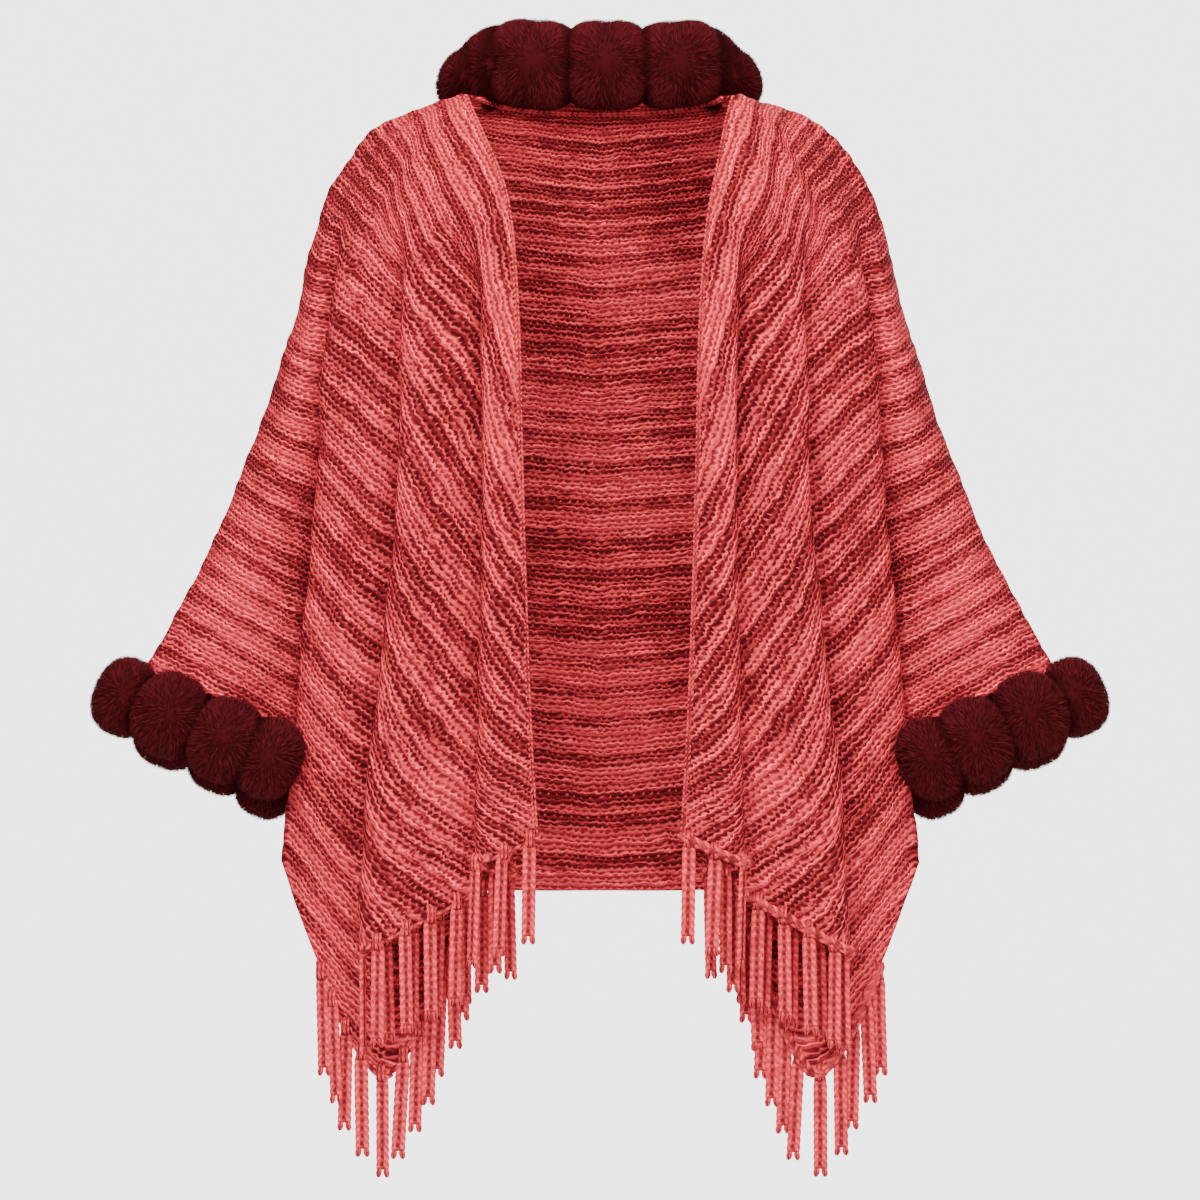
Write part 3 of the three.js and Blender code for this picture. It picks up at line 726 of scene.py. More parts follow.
def knit_pattern() -> bpy.types.NodeTree:
    """Node group of garter ridges: each has a wavy pale yarn along its top, partly painted
    highlight, and painted shade in the gaps below it.
    """
    tree, graph, given, made = group_tree(
        "garter ridges", {"Place": VECTOR, "Level": FLOAT},
        {"Height": FLOAT, "Yarn And Highlight": FLOAT, "Gap Shade": FLOAT, "Body": FLOAT})
    place, level = given.outputs["Place"], given.outputs["Level"]
    apart = graph.node("ShaderNodeSeparateXYZ")
    graph.link(place, apart.inputs[0])
    warp = graph.uneven(place, 60.0, 2.0)
    slow = graph.uneven(place, 14.0, 1.0)
    crumb = graph.minus(graph.noise(place, 420.0, 2.0, 0.6), 0.5)
    streak = graph.uneven(graph.scaled(place, 0.22), 300.0, 2.0)
    fade = graph.step(graph.noise(graph.scaled(place, 0.3), 110.0, 1.0), 0.36, 0.62)
    row = graph.times(apart.outputs["Y"], 1.0 / (RIDGE_PITCH * MM))
    row = graph.added(row, (warp, 0.75), (slow, 0.5))
    number = graph.math("FLOOR", row)
    inside = graph.minus(row, number)
    stitch = graph.times(apart.outputs["X"], 1.0 / (STITCH_PITCH * MM))
    stitch = graph.added(stitch, (number, 0.37), (slow, 3.0), (warp, 2.2))
    wave = graph.math("SINE", graph.times(stitch, 2 * math.pi))

    def strand(centre: float, swing: float, half: float) -> bpy.types.NodeSocket:
        """Mask of one wavy yarn at a place in the ridge."""
        middle = graph.added(centre, (wave, swing), (crumb, 0.2), (streak, 0.35))
        apart_by = graph.math("ABSOLUTE", graph.minus(inside, middle))
        return graph.minus(1.0, graph.step(apart_by, 0.3 * half, half))

    top = strand(0.74, 0.055, 0.15)
    second = strand(0.36, -0.06, 0.13)
    dashes = graph.ramp(wave, 0.4, 0.55)
    # painted shade: a dashed shadow under the top yarn and a dark line along the ridge's lower edge
    shadow = graph.times(strand(0.54, 0.06, 0.15), dashes)
    edge = graph.times(strand(0.06, -0.06, 0.19), 0.95)
    # painted shade in the gaps, deeper on the low ridges
    gap_shade = graph.times(graph.math("MAXIMUM", shadow, edge), graph.ramp(level, -0.4, 1.05))
    dots = graph.times(graph.step(wave, 0.45, 0.9), strand(0.15, 0.0, 0.2))
    # pale yarn on the stitch tops: partly marl, partly painted highlight, stronger on the high
    # ridges
    strong = graph.ramp(fade, 0.65, 0.3)
    quiet = graph.times(graph.ramp(level, 0.5, 0.45), strong)
    weak = graph.times(graph.ramp(level, 0.6, 0.1), strong)
    yarn = graph.math("MAXIMUM", graph.times(top, quiet), graph.times(second, weak))
    yarn = graph.math("MAXIMUM", yarn, graph.times(dots, 0.4))
    height = graph.ramp(yarn, 0.75, 0.3)
    height = graph.added(height, (gap_shade, -0.45), (crumb, 0.5), (streak, 0.8))
    marl = graph.uneven(place, 75.0, 2.0)
    # colour share from the ridge level, partly painted shade on the low ridges, plus random marl
    body = graph.added(level, (crumb, 1.2), (streak, 1.7), (marl, 0.8))
    for label, value in (("Height", height), ("Yarn And Highlight", yarn), ("Gap Shade", gap_shade), ("Body", body)):
        graph.link(value, made.inputs[label])
    return tree


def cord_pattern() -> bpy.types.NodeTree:
    """Node group of a flat crocheted cord: two rails of slanted stitches, with painted shade in the
    holes between.
    """
    tree, graph, given, made = group_tree(
        "crocheted cord", {"Place": VECTOR}, {"Height": FLOAT, "Pale": FLOAT, "Hole Shade": FLOAT})
    apart = graph.node("ShaderNodeSeparateXYZ")
    graph.link(given.outputs["Place"], apart.inputs[0])
    uneven = graph.uneven(given.outputs["Place"], 1.3, 2.0)
    aside = graph.math("ABSOLUTE", graph.ramp(uneven, 0.5, apart.outputs["X"]))
    stitch = graph.added(apart.outputs["Y"], (aside, -0.55), (uneven, 0.8))
    wave = graph.ramp(graph.math("COSINE", graph.times(stitch, 2 * math.pi)), 0.5, 0.5)
    level = graph.math("COSINE", graph.times(apart.outputs["Y"], 2 * math.pi))
    rail = graph.step(aside, 0.10, 0.42)
    # painted shade in the holes between the rails
    hole_shade = graph.times(graph.minus(1.0, graph.step(aside, 0.08, 0.34)),
                       graph.step(level, -0.75, 0.55))
    height = graph.times(rail, graph.ramp(wave, 0.35, 0.65))
    pale = graph.times(graph.ramp(graph.step(wave, 0.2, 0.9), 0.6, 0.3), rail)
    for label, value in (("Height", height), ("Pale", pale), ("Hole Shade", hole_shade)):
        graph.link(value, made.inputs[label])
    return tree


def linear(red: int, green: int, blue: int) -> tuple:
    """Scene colour of a display colour given from 0 to 255."""
    values = np.array([red, green, blue]) / 255.0
    curved = np.where(values <= 0.04045, values / 12.92, ((values + 0.055) / 1.055) ** 2.4)
    return (*(float(value) for value in curved), 1.0)


@dataclass(frozen=True)
class KnitFinish:
    """Marled garter knit: coral and wine yarns, with painted shade in the gaps between the stitches,
    pale stitch tops that are partly painted highlight, and low ridges whose darker wine is partly
    painted shade.
    """

    # colour of the painted shade in the gaps between the stitches
    gap_shade: tuple = linear(44, 4, 6)
    wine: tuple = linear(88, 15, 20)
    coral: tuple = linear(166, 44, 52)
    # pale yarn of the marl, partly painted highlight on the stitch tops
    pale: tuple = linear(252, 76, 86)
    roughness: float = 0.95
    specular: float = 0.05
    relief: float = 2.2          # millimetres from the gaps to the tops of the stitches

    def material(self) -> bpy.types.Material:
        """Material that reads the knitted places and the ridge level of a panel."""
        surface = Surface("marled garter knit", self.roughness, self.specular)
        graph = surface.graph
        pattern = surface.pattern(knit_pattern())
        level = graph.node("ShaderNodeAttribute", attribute_name="level")
        graph.link(level.outputs["Fac"], pattern.inputs["Level"])
        height, yarn, gap_shade, body = (
            pattern.outputs[label] for label in ("Height", "Yarn And Highlight", "Gap Shade", "Body"))
        # wine to coral by the ridge level: partly marl, partly painted shade on the low, deep ridges
        colour = graph.mix(graph.step(body, 0.2, 0.85), self.wine, self.coral)
        # pale yarn on the stitch tops, partly painted highlight
        colour = graph.mix(yarn, colour, self.pale)
        # painted shade in the gaps between the stitches
        colour = graph.mix(graph.times(gap_shade, 0.95), colour, self.gap_shade)
        return surface.finished(colour, height, self.relief)


@dataclass(frozen=True)
class CordFinish:
    """Crocheted cord of the fringe."""

    # colour of the painted shade in the holes, also used for the random darker patches
    hole_shade: tuple = linear(92, 22, 27)
    mid: tuple = linear(146, 39, 45)
    pale: tuple = linear(222, 64, 72)
    roughness: float = 0.95
    specular: float = 0.05
    relief: float = 1.2

    def material(self) -> bpy.types.Material:
        """Material that reads the place across and along each cord."""
        surface = Surface("crocheted cord", self.roughness, self.specular)
        graph = surface.graph
        pattern = surface.pattern(cord_pattern())
        colour = graph.mix(pattern.outputs["Pale"], self.mid, self.pale)
        # painted shade in the holes
        colour = graph.mix(pattern.outputs["Hole Shade"], colour, self.hole_shade)
        marl = graph.times(graph.step(surface.solid_noise(90.0), 0.5, 0.66), 0.7)
        worn = graph.math("MAXIMUM", graph.step(surface.solid_noise(450.0), 0.5, 0.7), marl)
        colour = graph.mix(graph.times(worn, 0.55), colour, self.hole_shade)
        return surface.finished(colour, pattern.outputs["Height"], self.relief)


@dataclass(frozen=True)
class ChainFinish:
    """Crocheted chain of the same marled yarn, with a twist along it."""

    dark: tuple = linear(96, 20, 25)
    mid: tuple = linear(160, 44, 51)
    pale: tuple = linear(214, 62, 70)
    roughness: float = 0.95
    specular: float = 0.1
    relief: float = 0.4

    def material(self) -> bpy.types.Material:
        """Material that reads the place around and along each loop."""
        surface = Surface("crocheted chain", self.roughness, self.specular)
        graph = surface.graph
        around, along = surface.lengths()
        twist = graph.math("SINE", graph.times(graph.math("ADD", around, along), 2 * math.pi))
        twist = graph.ramp(twist, 0.5, 0.5)
        yarn = graph.mix(graph.step(surface.solid_noise(110.0), 0.36, 0.62), self.dark, self.mid)
        yarn = graph.mix(graph.times(graph.step(twist, 0.4, 1.0), 0.7), yarn, self.pale)
        return surface.finished(yarn, twist, self.relief)


@dataclass(frozen=True)
class FurFinish:
    """Dense short fur, dark at the roots and a little lighter towards the tips."""

    root: tuple = linear(30, 1, 2)
    middle: tuple = linear(44, 4, 7)
    tip: tuple = linear(92, 25, 30)
    roughness: float = 0.9
    specular: float = 0.04

    def material(self) -> bpy.types.Material:
        """Material that reads each strand's own tone, darkened by painted shade in the seams between
        balls, and the place along it.
        """
        surface = Surface("dyed fur", self.roughness, self.specular)
        graph = surface.graph
        tone_and_seam_shade, rise = surface.lengths()
        # painted shade in the seams between balls lowers both the place along the strand and the tip
        # lightening
        lower = graph.mix(graph.step(rise, 0.0, 0.7), self.root, self.middle)
        lighter = graph.times(graph.step(rise, 0.35, 1.0), graph.ramp(tone_and_seam_shade, 0.95, 0.05))
        return surface.finished(graph.mix(lighter, lower, self.tip))


@dataclass(frozen=True)
class Knit:
    """Sizes of the knitted cloth."""

    thickness: float = 2.4
    relief: float = 1.3          # millimetres from a low ridge to a high one
    rumple: float = 0.8          # millimetres of the slow unevenness of hanging cloth
    steps: tuple = (2, 2, 3, 3, 4)   # ridges from one low one to the next, to draw from
    low: tuple = (-0.05, 0.25)   # levels of the low ridges
    high: tuple = (0.5, 1.0)     # levels of the high ridges
    drift: tuple = (0.16, 0.1)   # how far the level drifts along a ridge, slowly and faster
    drift_pace: tuple = (47.0, 31.0, 19.0)   # millimetres for each radian of the drifts
    waves: int = 5               # slow waves that make the unevenness
    wave_lengths: tuple = (60, 190)

    def levels(self, knitted: Array, stitches: Array) -> Array:
        """Level of each ridge from 0, deep and dark, to 1, high and pale: the colour follows the
        depth, partly as marl and partly as painted shade on the low ridges.

        One to three high ridges lie between two low ones, each has its own height, and the
        level drifts slowly along a ridge.

        Args:
            knitted: Length across the ridges.
            stitches: Length along them.

        Returns:
            Array of levels.
        """
        dice = np.random.default_rng(SEED["ridges"])
        ridges = np.arange(-8, 110)
        steps = np.cumsum(dice.choice(self.steps, len(ridges)))
        deep = np.isin(np.arange(len(ridges)), steps)
        heights = np.where(deep, dice.uniform(*self.low, len(ridges)),
                           dice.uniform(*self.high, len(ridges)))
        slow, across, fast = self.drift_pace
        drift = (self.drift[0] * np.sin(stitches / slow + knitted / across)
                 + self.drift[1] * np.sin(stitches / fast))
        place = knitted / RIDGE_PITCH - 0.55
        whole = np.floor(place)
        turn = ease(place - whole, 0.25, 0.75)
        low = np.interp(whole, ridges, heights)
        high = np.interp(whole + 1, ridges, heights)
        return np.clip(low * (1 - turn) + high * turn + drift, 0.0, 1.0)

    def raised(self, grid: Array, levels: Array, normals: Array, seed: int) -> Array:
        """Middle surface of a panel with its high ridges and slow unevenness.

        Args:
            grid: Panel grid (rows, columns, 4).
            levels: Level of the ridge at each point.
            normals: Unit normals of the grid.
            seed: Seed of the unevenness.

        Returns:
            Array (rows, columns, 3).
        """
        dice = np.random.default_rng(seed)
        height = self.relief * (levels - 0.5)
        for _ in range(self.waves):
            along, down = dice.uniform(*self.wave_lengths, 2)
            phase = dice.uniform(0, 2 * np.pi)
            height = height + self.rumple / 2.5 * np.sin(
                2 * np.pi * (grid[..., 0] / along + grid[..., 2] / down) + phase)
        return grid[..., :3] + normals * height[..., None]

    def shell(self, middle: Array, normals: Array) -> tuple:
        """Closed thin shell on a middle surface.

        Args:
            middle: Grid (rows, columns, 3).
            normals: Unit normals of the grid.

        Returns:
            Tuple of the points and a list with the faces.
        """
        rows, columns = middle.shape[:2]
        offset = normals * self.thickness / 2
        points = np.concatenate([(middle + offset).reshape(-1, 3),
                                 (middle - offset).reshape(-1, 3)])
        outer = grid_faces(rows, columns)
        inner = grid_faces(rows, columns, rows * columns)[:, ::-1]
        index = np.arange(rows * columns).reshape(rows, columns)
        rim = np.concatenate([index[0, :-1], index[:-1, -1], index[-1, :0:-1], index[:0:-1, 0]])
        following = np.roll(rim, -1)
        other = rows * columns
        edge = np.stack([following, rim, rim + other, following + other], axis=1)
        faces = np.concatenate([outer, inner, edge])
        return points, outward(points, [faces])


@dataclass(frozen=True)
class Chain:
    """Crocheted chain: a row of teardrop loops of yarn, each over the next one."""

    width: float
    pitch: float
    yarn: float                  # millimetres of the yarn's thickness
    turns: int = 10              # points around one loop
    sides: int = 5               # sides of the yarn
    reach: float = 0.86          # share of the pitch that a loop reaches each way
    fullness: float = 0.82       # share of the half-width in its middle
    taper: float = 0.3           # how much narrower its far end is
    lift: float = 0.45           # share of the yarn by which its end stands forward

    def loops(self, centres: Array, along: Array, across: Array) -> tuple:
        """Loops at given centres.

        The loop's half-width follows the sine of the angle, narrowed towards its end, and its
        end stands forward over the start of the next loop.

        Args:
            centres: Centre of each loop, (n, 3).
            along: Direction of the chain at each loop.
            across: Direction across it.

        Returns:
            Tuple of points, quads and texture places.
        """
        count = len(centres)
        facing = unit(np.cross(across, along))
        angle = np.linspace(0, 2 * np.pi, self.turns, endpoint=False)
        half = self.width / 2 - self.yarn / 2
        wide = half * np.sin(angle) * (self.fullness - self.taper * np.cos(angle))
        ahead = self.reach * self.pitch * np.cos(angle)
        lift = self.lift * self.yarn * np.cos(angle)
        line = (centres[:, None, :] + (wide[None, :, None] * across[:, None, :]
                                       + ahead[None, :, None] * along[:, None, :]
                                       + lift[None, :, None] * facing[:, None, :]))
        forward = unit(np.roll(line, -1, axis=1) - np.roll(line, 1, axis=1))
        side = unit(np.cross(forward, facing[:, None, :]))
        over = np.cross(side, forward)
        turn = np.linspace(0, 2 * np.pi, self.sides, endpoint=False)
        tube = line[:, :, None, :] + self.yarn / 2 * (
            np.cos(turn)[None, None, :, None] * side[:, :, None, :]
            + np.sin(turn)[None, None, :, None] * over[:, :, None, :])
        index = np.arange(count * self.turns * self.sides).reshape(count, self.turns, self.sides)
        ahead_index = np.roll(index, -1, axis=1)
        quads = np.stack([index, np.roll(index, -1, axis=2), np.roll(ahead_index, -1, axis=2),
                          ahead_index], axis=-1).reshape(-1, 4)
        around = np.broadcast_to(turn / (2 * np.pi), index.shape)
        length = np.broadcast_to((angle / (2 * np.pi) * 4)[None, :, None], index.shape)
        places = np.stack([around.ravel(), length.ravel()], axis=1)
        return tube.reshape(-1, 3), quads, places

    def along_path(self, path: Array, facing: Array) -> tuple:
        """Chain along a path.

        Args:
            path: Points of the path, (n, 3).
            facing: Direction in which the chain faces at each point.

        Returns:
            Tuple of points, quads and texture places.
        """
        lengths = path_lengths(path)
        places = np.arange(self.pitch / 2, lengths[-1], self.pitch)
        along = unit(path_values(lengths, path, places + 1.0)
                     - path_values(lengths, path, places - 1.0))
        across = unit(np.cross(along, path_values(lengths, facing, places)))
        return self.loops(path_values(lengths, path, places), along, across)


@dataclass(frozen=True)
class Limb:
    """Closed rod of a two-lobed flat section, such as a crocheted cord or a round tip."""

    sides: int

    def build(self, centres: Array, across: Array, facing: Array, wide: Array, thick: Array,
              waist: float, pitch: float) -> tuple:
        """Rods through given centres.

        The half-thickness is least in the middle of the width, where it has the share `waist`.

        Args:
            centres: Centres of the rings, (n, rings, 3).
            across: Direction of the width, (n, 3).
            facing: Direction of the thickness, (n, 3).
            wide: Half-width of each ring.
            thick: Half-thickness of each ring.
            waist: Share of the thickness in the middle.
            pitch: Length of a stitch, for the texture places.

        Returns:
            Tuple of points, a list with quads and end triangles, and texture places.
        """
        count, rings = centres.shape[:2]
        turn = np.linspace(0, 2 * np.pi, self.sides, endpoint=False)
        aside = np.cos(turn)
        deep = np.sin(turn) * (waist + (1 - waist) * np.minimum(1.6 * aside * aside, 1.0))
        ring = (wide[:, None, None] * aside[None, :, None] * across[:, None, None, :]
                + thick[:, None, None] * deep[None, :, None] * facing[:, None, None, :])
        points = centres[:, :, None, :] + ring
        drop = np.linalg.norm(centres - centres[:, :1], axis=-1) / pitch
        places = np.stack([np.broadcast_to(aside, points.shape[:3]),
                           np.broadcast_to(drop[:, :, None], points.shape[:3])], axis=-1)
        ends = np.stack([centres[:, 0], centres[:, -1]], axis=1)
        index = np.arange(count * rings * self.sides).reshape(count, rings, self.sides)
        following = np.roll(index, -1, axis=2)
        quads = np.stack([index[:, :-1], following[:, :-1], following[:, 1:], index[:, 1:]],
                         axis=-1).reshape(-1, 4)
        first = index.size + 2 * np.arange(count)
        caps = np.concatenate([
            np.stack([np.repeat(first, self.sides), following[:, 0].ravel(),
                      index[:, 0].ravel()], axis=1),
            np.stack([np.repeat(first + 1, self.sides), index[:, -1].ravel(),
                      following[:, -1].ravel()], axis=1)])
        end_places = np.stack([np.zeros(2 * count), np.tile([0.0, 1.0], count)], axis=1)
        return (np.concatenate([points.reshape(-1, 3), ends.reshape(-1, 3)]), [quads, caps],
                np.concatenate([places.reshape(-1, 2), end_places]))


@dataclass(frozen=True)
class Fringe:
    """Crocheted cords that hang from the slanting hem of a front, each looped over the hem."""

    cords: int = 26
    length: float = 90.0
    width: float = 12.0
    thickness: float = 5.0
    stitch: float = 6.6
    rings: int = 26              # rings of mesh down a cord
    waist: float = 0.55          # share of the thickness in the middle of a cord
    sway: float = 0.032          # spread of the cords' slant
    twist: float = 0.2           # spread of their turn in plan, in radians
    layer: float = 1.2           # millimetres by which every second cord stands forward
    tip: float = 7.0             # millimetres of the two rounded tips of a cord
    tip_sizes: tuple = (2.9, 2.5)    # half-width and half-thickness of a tip
    yarn: float = 2.1            # half-thickness of the loops over the hem
    loop_depth: float = 3.6      # half of a loop's depth through the cloth

    def build(self, edge: Array, normals: Array, seed: int) -> tuple:
        """Cords, tips and loops on a hem.

        Args:
            edge: Points of the hem's edge, (n, 3).
            normals: Unit normals of the cloth there.
            seed: Seed of the small differences between cords.

        Returns:
            Tuple of points, a list with quads and triangles, and texture places.
        """
        dice = np.random.default_rng(seed)
        lengths = path_lengths(edge)
        places = np.linspace(self.width / 2, lengths[-1] - self.width / 2, self.cords)
        roots = path_values(lengths, edge, places)
        level = unit(normals * np.array([1.0, 1.0, 0.0]))
        facing = unit(path_values(lengths, level, places))
        facing = facing * np.where(facing[:, 1:2] > 0, -1.0, 1.0)
        yaw = dice.normal(0, self.twist, self.cords)
        facing = np.stack([facing[:, 0] * np.cos(yaw) - facing[:, 1] * np.sin(yaw),
                           facing[:, 0] * np.sin(yaw) + facing[:, 1] * np.cos(yaw),
                           np.zeros(self.cords)], axis=1)
        across = np.stack([-facing[:, 1], facing[:, 0], np.zeros(self.cords)], axis=1)
        down = np.array([0.0, 0.0, -1.0])
        sway = dice.normal(0, self.sway, self.cords)[:, None, None]
        ahead = np.where(np.arange(self.cords) % 2 == 0, self.layer, -self.layer)
        drops = np.linspace(-1.0, self.length - self.tip, self.rings)
        centres = (roots[:, None, :] + (ahead[:, None] * facing)[:, None, :]
                   + drops[None, :, None] * (down + sway * across[:, None, :]))
        swell = 1.0 + 0.05 * np.cos(2 * np.pi * drops / self.stitch)
        narrow = ease(drops, -3.0, 12.0) * 0.35 + 0.65
        parts = [Limb(16).build(centres, across, facing, self.width / 2 * swell * narrow,
                                self.thickness / 2 * swell * narrow, self.waist, self.stitch)]
        around = np.linspace(0, np.pi, 6)
        reach = (1 - np.cos(around)) / 2 * (self.tip + 2.0)
        round_off = np.sin(np.clip(around, 0.25, np.pi - 0.25))
        for turn in (-1, 1):
            end = centres[:, -1] + turn * 0.25 * self.width * across - 2.0 * down
            tips = end[:, None, :] + reach[None, :, None] * unit(
                down + turn * 0.12 * across)[:, None, :]
            wide, thick = (size * round_off for size in self.tip_sizes)
            parts.append(Limb(8).build(tips, across, facing, wide, thick, 1.0, self.stitch))
        bow = np.linspace(0, np.pi, 8)
        rise = 8.0 * (np.abs(np.cos(bow)) > 0.95) - (2.0 + 5.0 * np.sin(bow))
        yarn = np.full(len(bow), self.yarn)
        for turn in (-1, 1):
            start = roots + turn * 1.9 * across
            loop = (start[:, None, :]
                    + (self.loop_depth * np.cos(bow))[None, :, None] * facing[:, None, :]
                    + rise[None, :, None] * down[None, None, :])
            parts.append(Limb(8).build(loop, across, unit(facing - down), yarn, yarn, 1.0,
                                       self.stitch))
        return joined_limbs(parts)


def joined_limbs(parts: list) -> tuple:
    """Points, quads and triangles and places of several sets of rods as one."""
    offsets = np.concatenate([[0], np.cumsum([len(part[0]) for part in parts])[:-1]])
    faces = [np.concatenate([part[1][kind] + offset for part, offset in zip(parts, offsets)])
             for kind in (0, 1)]
    return (np.concatenate([part[0] for part in parts]), faces,
            np.concatenate([part[2] for part in parts]))


@dataclass(frozen=True)
class Ball:
    """Fur ball: a squared ellipsoid."""

    at: tuple
    turn: float                  # degrees in plan
    along: float
    thick: float
    high: float
    roll: float = 0.0            # degrees towards the middle of the collar
    power: float = 2.0 / 0.86    # exponent of its squared ellipsoid

    @property
    def sizes(self) -> Array:
        """Its three half-sizes."""
        return np.array([self.along, self.thick, self.high], float)


COLLAR_BALLS = (
    Ball((-119, 68, 26), -60, 22, 22, 32, 48, 2.1), Ball((-95, 61, 35), -34, 34, 27, 43, 48, 2.1),
    Ball((-57, 49, 38), -10, 40, 32, 41, 5, 3.3), Ball((6, 43, 37), 0, 39, 34, 41, 0, 3.3),
    Ball((67, 49, 38), 10, 39, 32, 40, -5, 3.3), Ball((95, 61, 35), 34, 34, 27, 43, -48, 2.1),
    Ball((118, 68, 26), 60, 22, 22, 32, -48, 2.1),
)
CUFF_BALLS = (
    Ball((284, -102, -566), 4, 29, 24, 37), Ball((322, -102, -550), 2, 32, 25, 39),
    Ball((369, -95, -529), -14, 34, 25, 39), Ball((408, -62, -514), -90, 34, 30, 36),
    Ball((370, -30, -543), 14, 34, 24, 35), Ball((325, -22, -564), -2, 32, 24, 36),
    Ball((286, -25, -585), -8, 29, 24, 36),
)
CUFF_SLOPE = 22.5               # degrees by which a cuff falls towards the body
CUFF_LEAN = 11.0                # degrees by which it leans forward


@dataclass(frozen=True)
class FurRow:
    """Row of fur balls with their pile."""

    balls: tuple
    side: int
    strands: int
    slope: float = 0.0
    lean: float = 0.0
    length: float = 10.0
    width: float = 0.8
    core: float = 0.90           # share of a ball's size that its skin has
    seam: tuple = (0.94, 1.28)   # clearance from the next ball at which strands have the most painted seam shade and none
    whorl: tuple = (0.0, -1.0, 0.1)  # direction from which the pile parts
    lower: tuple = (0.42, 0.9)   # shares of outward and combed in a strand's lower half
    upper: tuple = (0.26, 0.95)  # the same in its upper half
    stray: float = 0.16          # spread of the strands' direction
    softness: float = 0.22       # spread of their shading

    def turned(self, ball: Ball) -> Array:
        """Rotation matrix of a ball: rolled, turned in plan, leaned forward, then sloped."""
        def about(axis: int, degrees: float) -> Array:
            c, s = math.cos(math.radians(degrees)), math.sin(math.radians(degrees))
            first, second = [k for k in range(3) if k != axis]
            if axis == 1:
                first, second = second, first
            matrix = np.eye(3)
            matrix[first, first] = matrix[second, second] = c
            matrix[first, second], matrix[second, first] = -s, s
            return matrix
        return (about(1, -self.side * self.slope) @ about(0, -self.lean)
                @ about(2, self.side * ball.turn) @ about(1, self.side * ball.roll))

    def centre(self, ball: Ball) -> Array:
        """Centre of a ball on its side."""
        return np.array([self.side * ball.at[0], ball.at[1], ball.at[2]], float)

    def inside(self, ball: Ball, points: Array) -> Array:
        """How far points are inside a ball: under 1 is inside."""
        local = (points - self.centre(ball)) @ self.turned(ball)
        return (np.abs(local / ball.sizes) ** ball.power).sum(-1)

    def skin(self, ball: Ball, rows: int = 14, columns: int = 22) -> tuple:
        """Closed skin of a ball under its pile.

        Args:
            ball: The ball.
            rows: Rings from pole to pole.
            columns: Points around each ring.

        Returns:
            Tuple of points, quads and triangles.
        """
        fall = np.linspace(0, np.pi, rows + 2)[1:-1, None]
        around = np.linspace(0, 2 * np.pi, columns, endpoint=False)[None, :]
        sphere = np.stack([np.sin(fall) * np.cos(around), np.sin(fall) * np.sin(around),
                           np.cos(fall) * np.ones_like(around)], axis=-1).reshape(-1, 3)
        sphere = np.concatenate([sphere, [[0, 0, 1.0], [0, 0, -1.0]]])
        points = self.placed(ball, sphere, self.core)
        quads = grid_faces(rows, columns, closed=True)
        ring = np.arange(columns)
        top, bottom = rows * columns, rows * columns + 1
        last = (rows - 1) * columns
        caps = np.concatenate([
            np.stack([np.full(columns, top), np.roll(ring, -1), ring], axis=1),
            np.stack([np.full(columns, bottom), last + ring, last + np.roll(ring, -1)], axis=1)])
        return points, quads, caps

    def placed(self, ball: Ball, sphere: Array, size: Array | float) -> Array:
        """Points of a unit sphere on a ball of a share of its full size."""
        squared = np.sign(sphere) * np.abs(sphere) ** (2.0 / ball.power)
        return (squared * ball.sizes * size) @ self.turned(ball).T + self.centre(ball)

    def pile(self, seed: int) -> tuple:
        """Strands of fur, each one a narrow blade that bends away from its ball's whorl.

        Strands in the seam between two balls get the colour of their dark lower part and less
        lightening at the tips, as painted shade.

        Args:
            seed: Seed of the strands' differences.

        Returns:
            Tuple of points, quads, triangles, texture places and shading normals.
        """
        dice = np.random.default_rng(seed)
        weights = np.array([ball.along * ball.thick + ball.along * ball.high
                            + ball.thick * ball.high for ball in self.balls], float)
        shares = (self.strands * weights / weights.sum()).astype(int)
        roots, normals, centres, lights = [], [], [], []
        for ball, count in zip(self.balls, shares):
            step = np.arange(count) + 0.5
            fall = np.arccos(np.clip(1 - 2 * step / count, -1, 1))
            spin = step * math.pi * (1 + math.sqrt(5)) + dice.normal(0, 0.05, count)
            sphere = np.stack([np.sin(fall) * np.cos(spin), np.sin(fall) * np.sin(spin),
                               np.cos(fall)], axis=1)
            root = self.placed(ball, sphere, self.core - 0.02)
            near = self.placed(ball, sphere, 1.0)
            clear = np.full(count, 9.0)
            for other in self.balls:
                if other is not ball:
                    clear = np.minimum(clear, self.inside(other, near) ** (1 / other.power))
            keep = clear > self.seam[0]
            local = (root - self.centre(ball)) @ self.turned(ball)
            steep = np.sign(local) * np.abs(local / ball.sizes) ** (ball.power - 1) / ball.sizes
            normal = unit(steep @ self.turned(ball).T)
            roots.append(root[keep])
            normals.append(normal[keep])
            centres.append(np.repeat(self.centre(ball)[None, :], keep.sum(), axis=0))
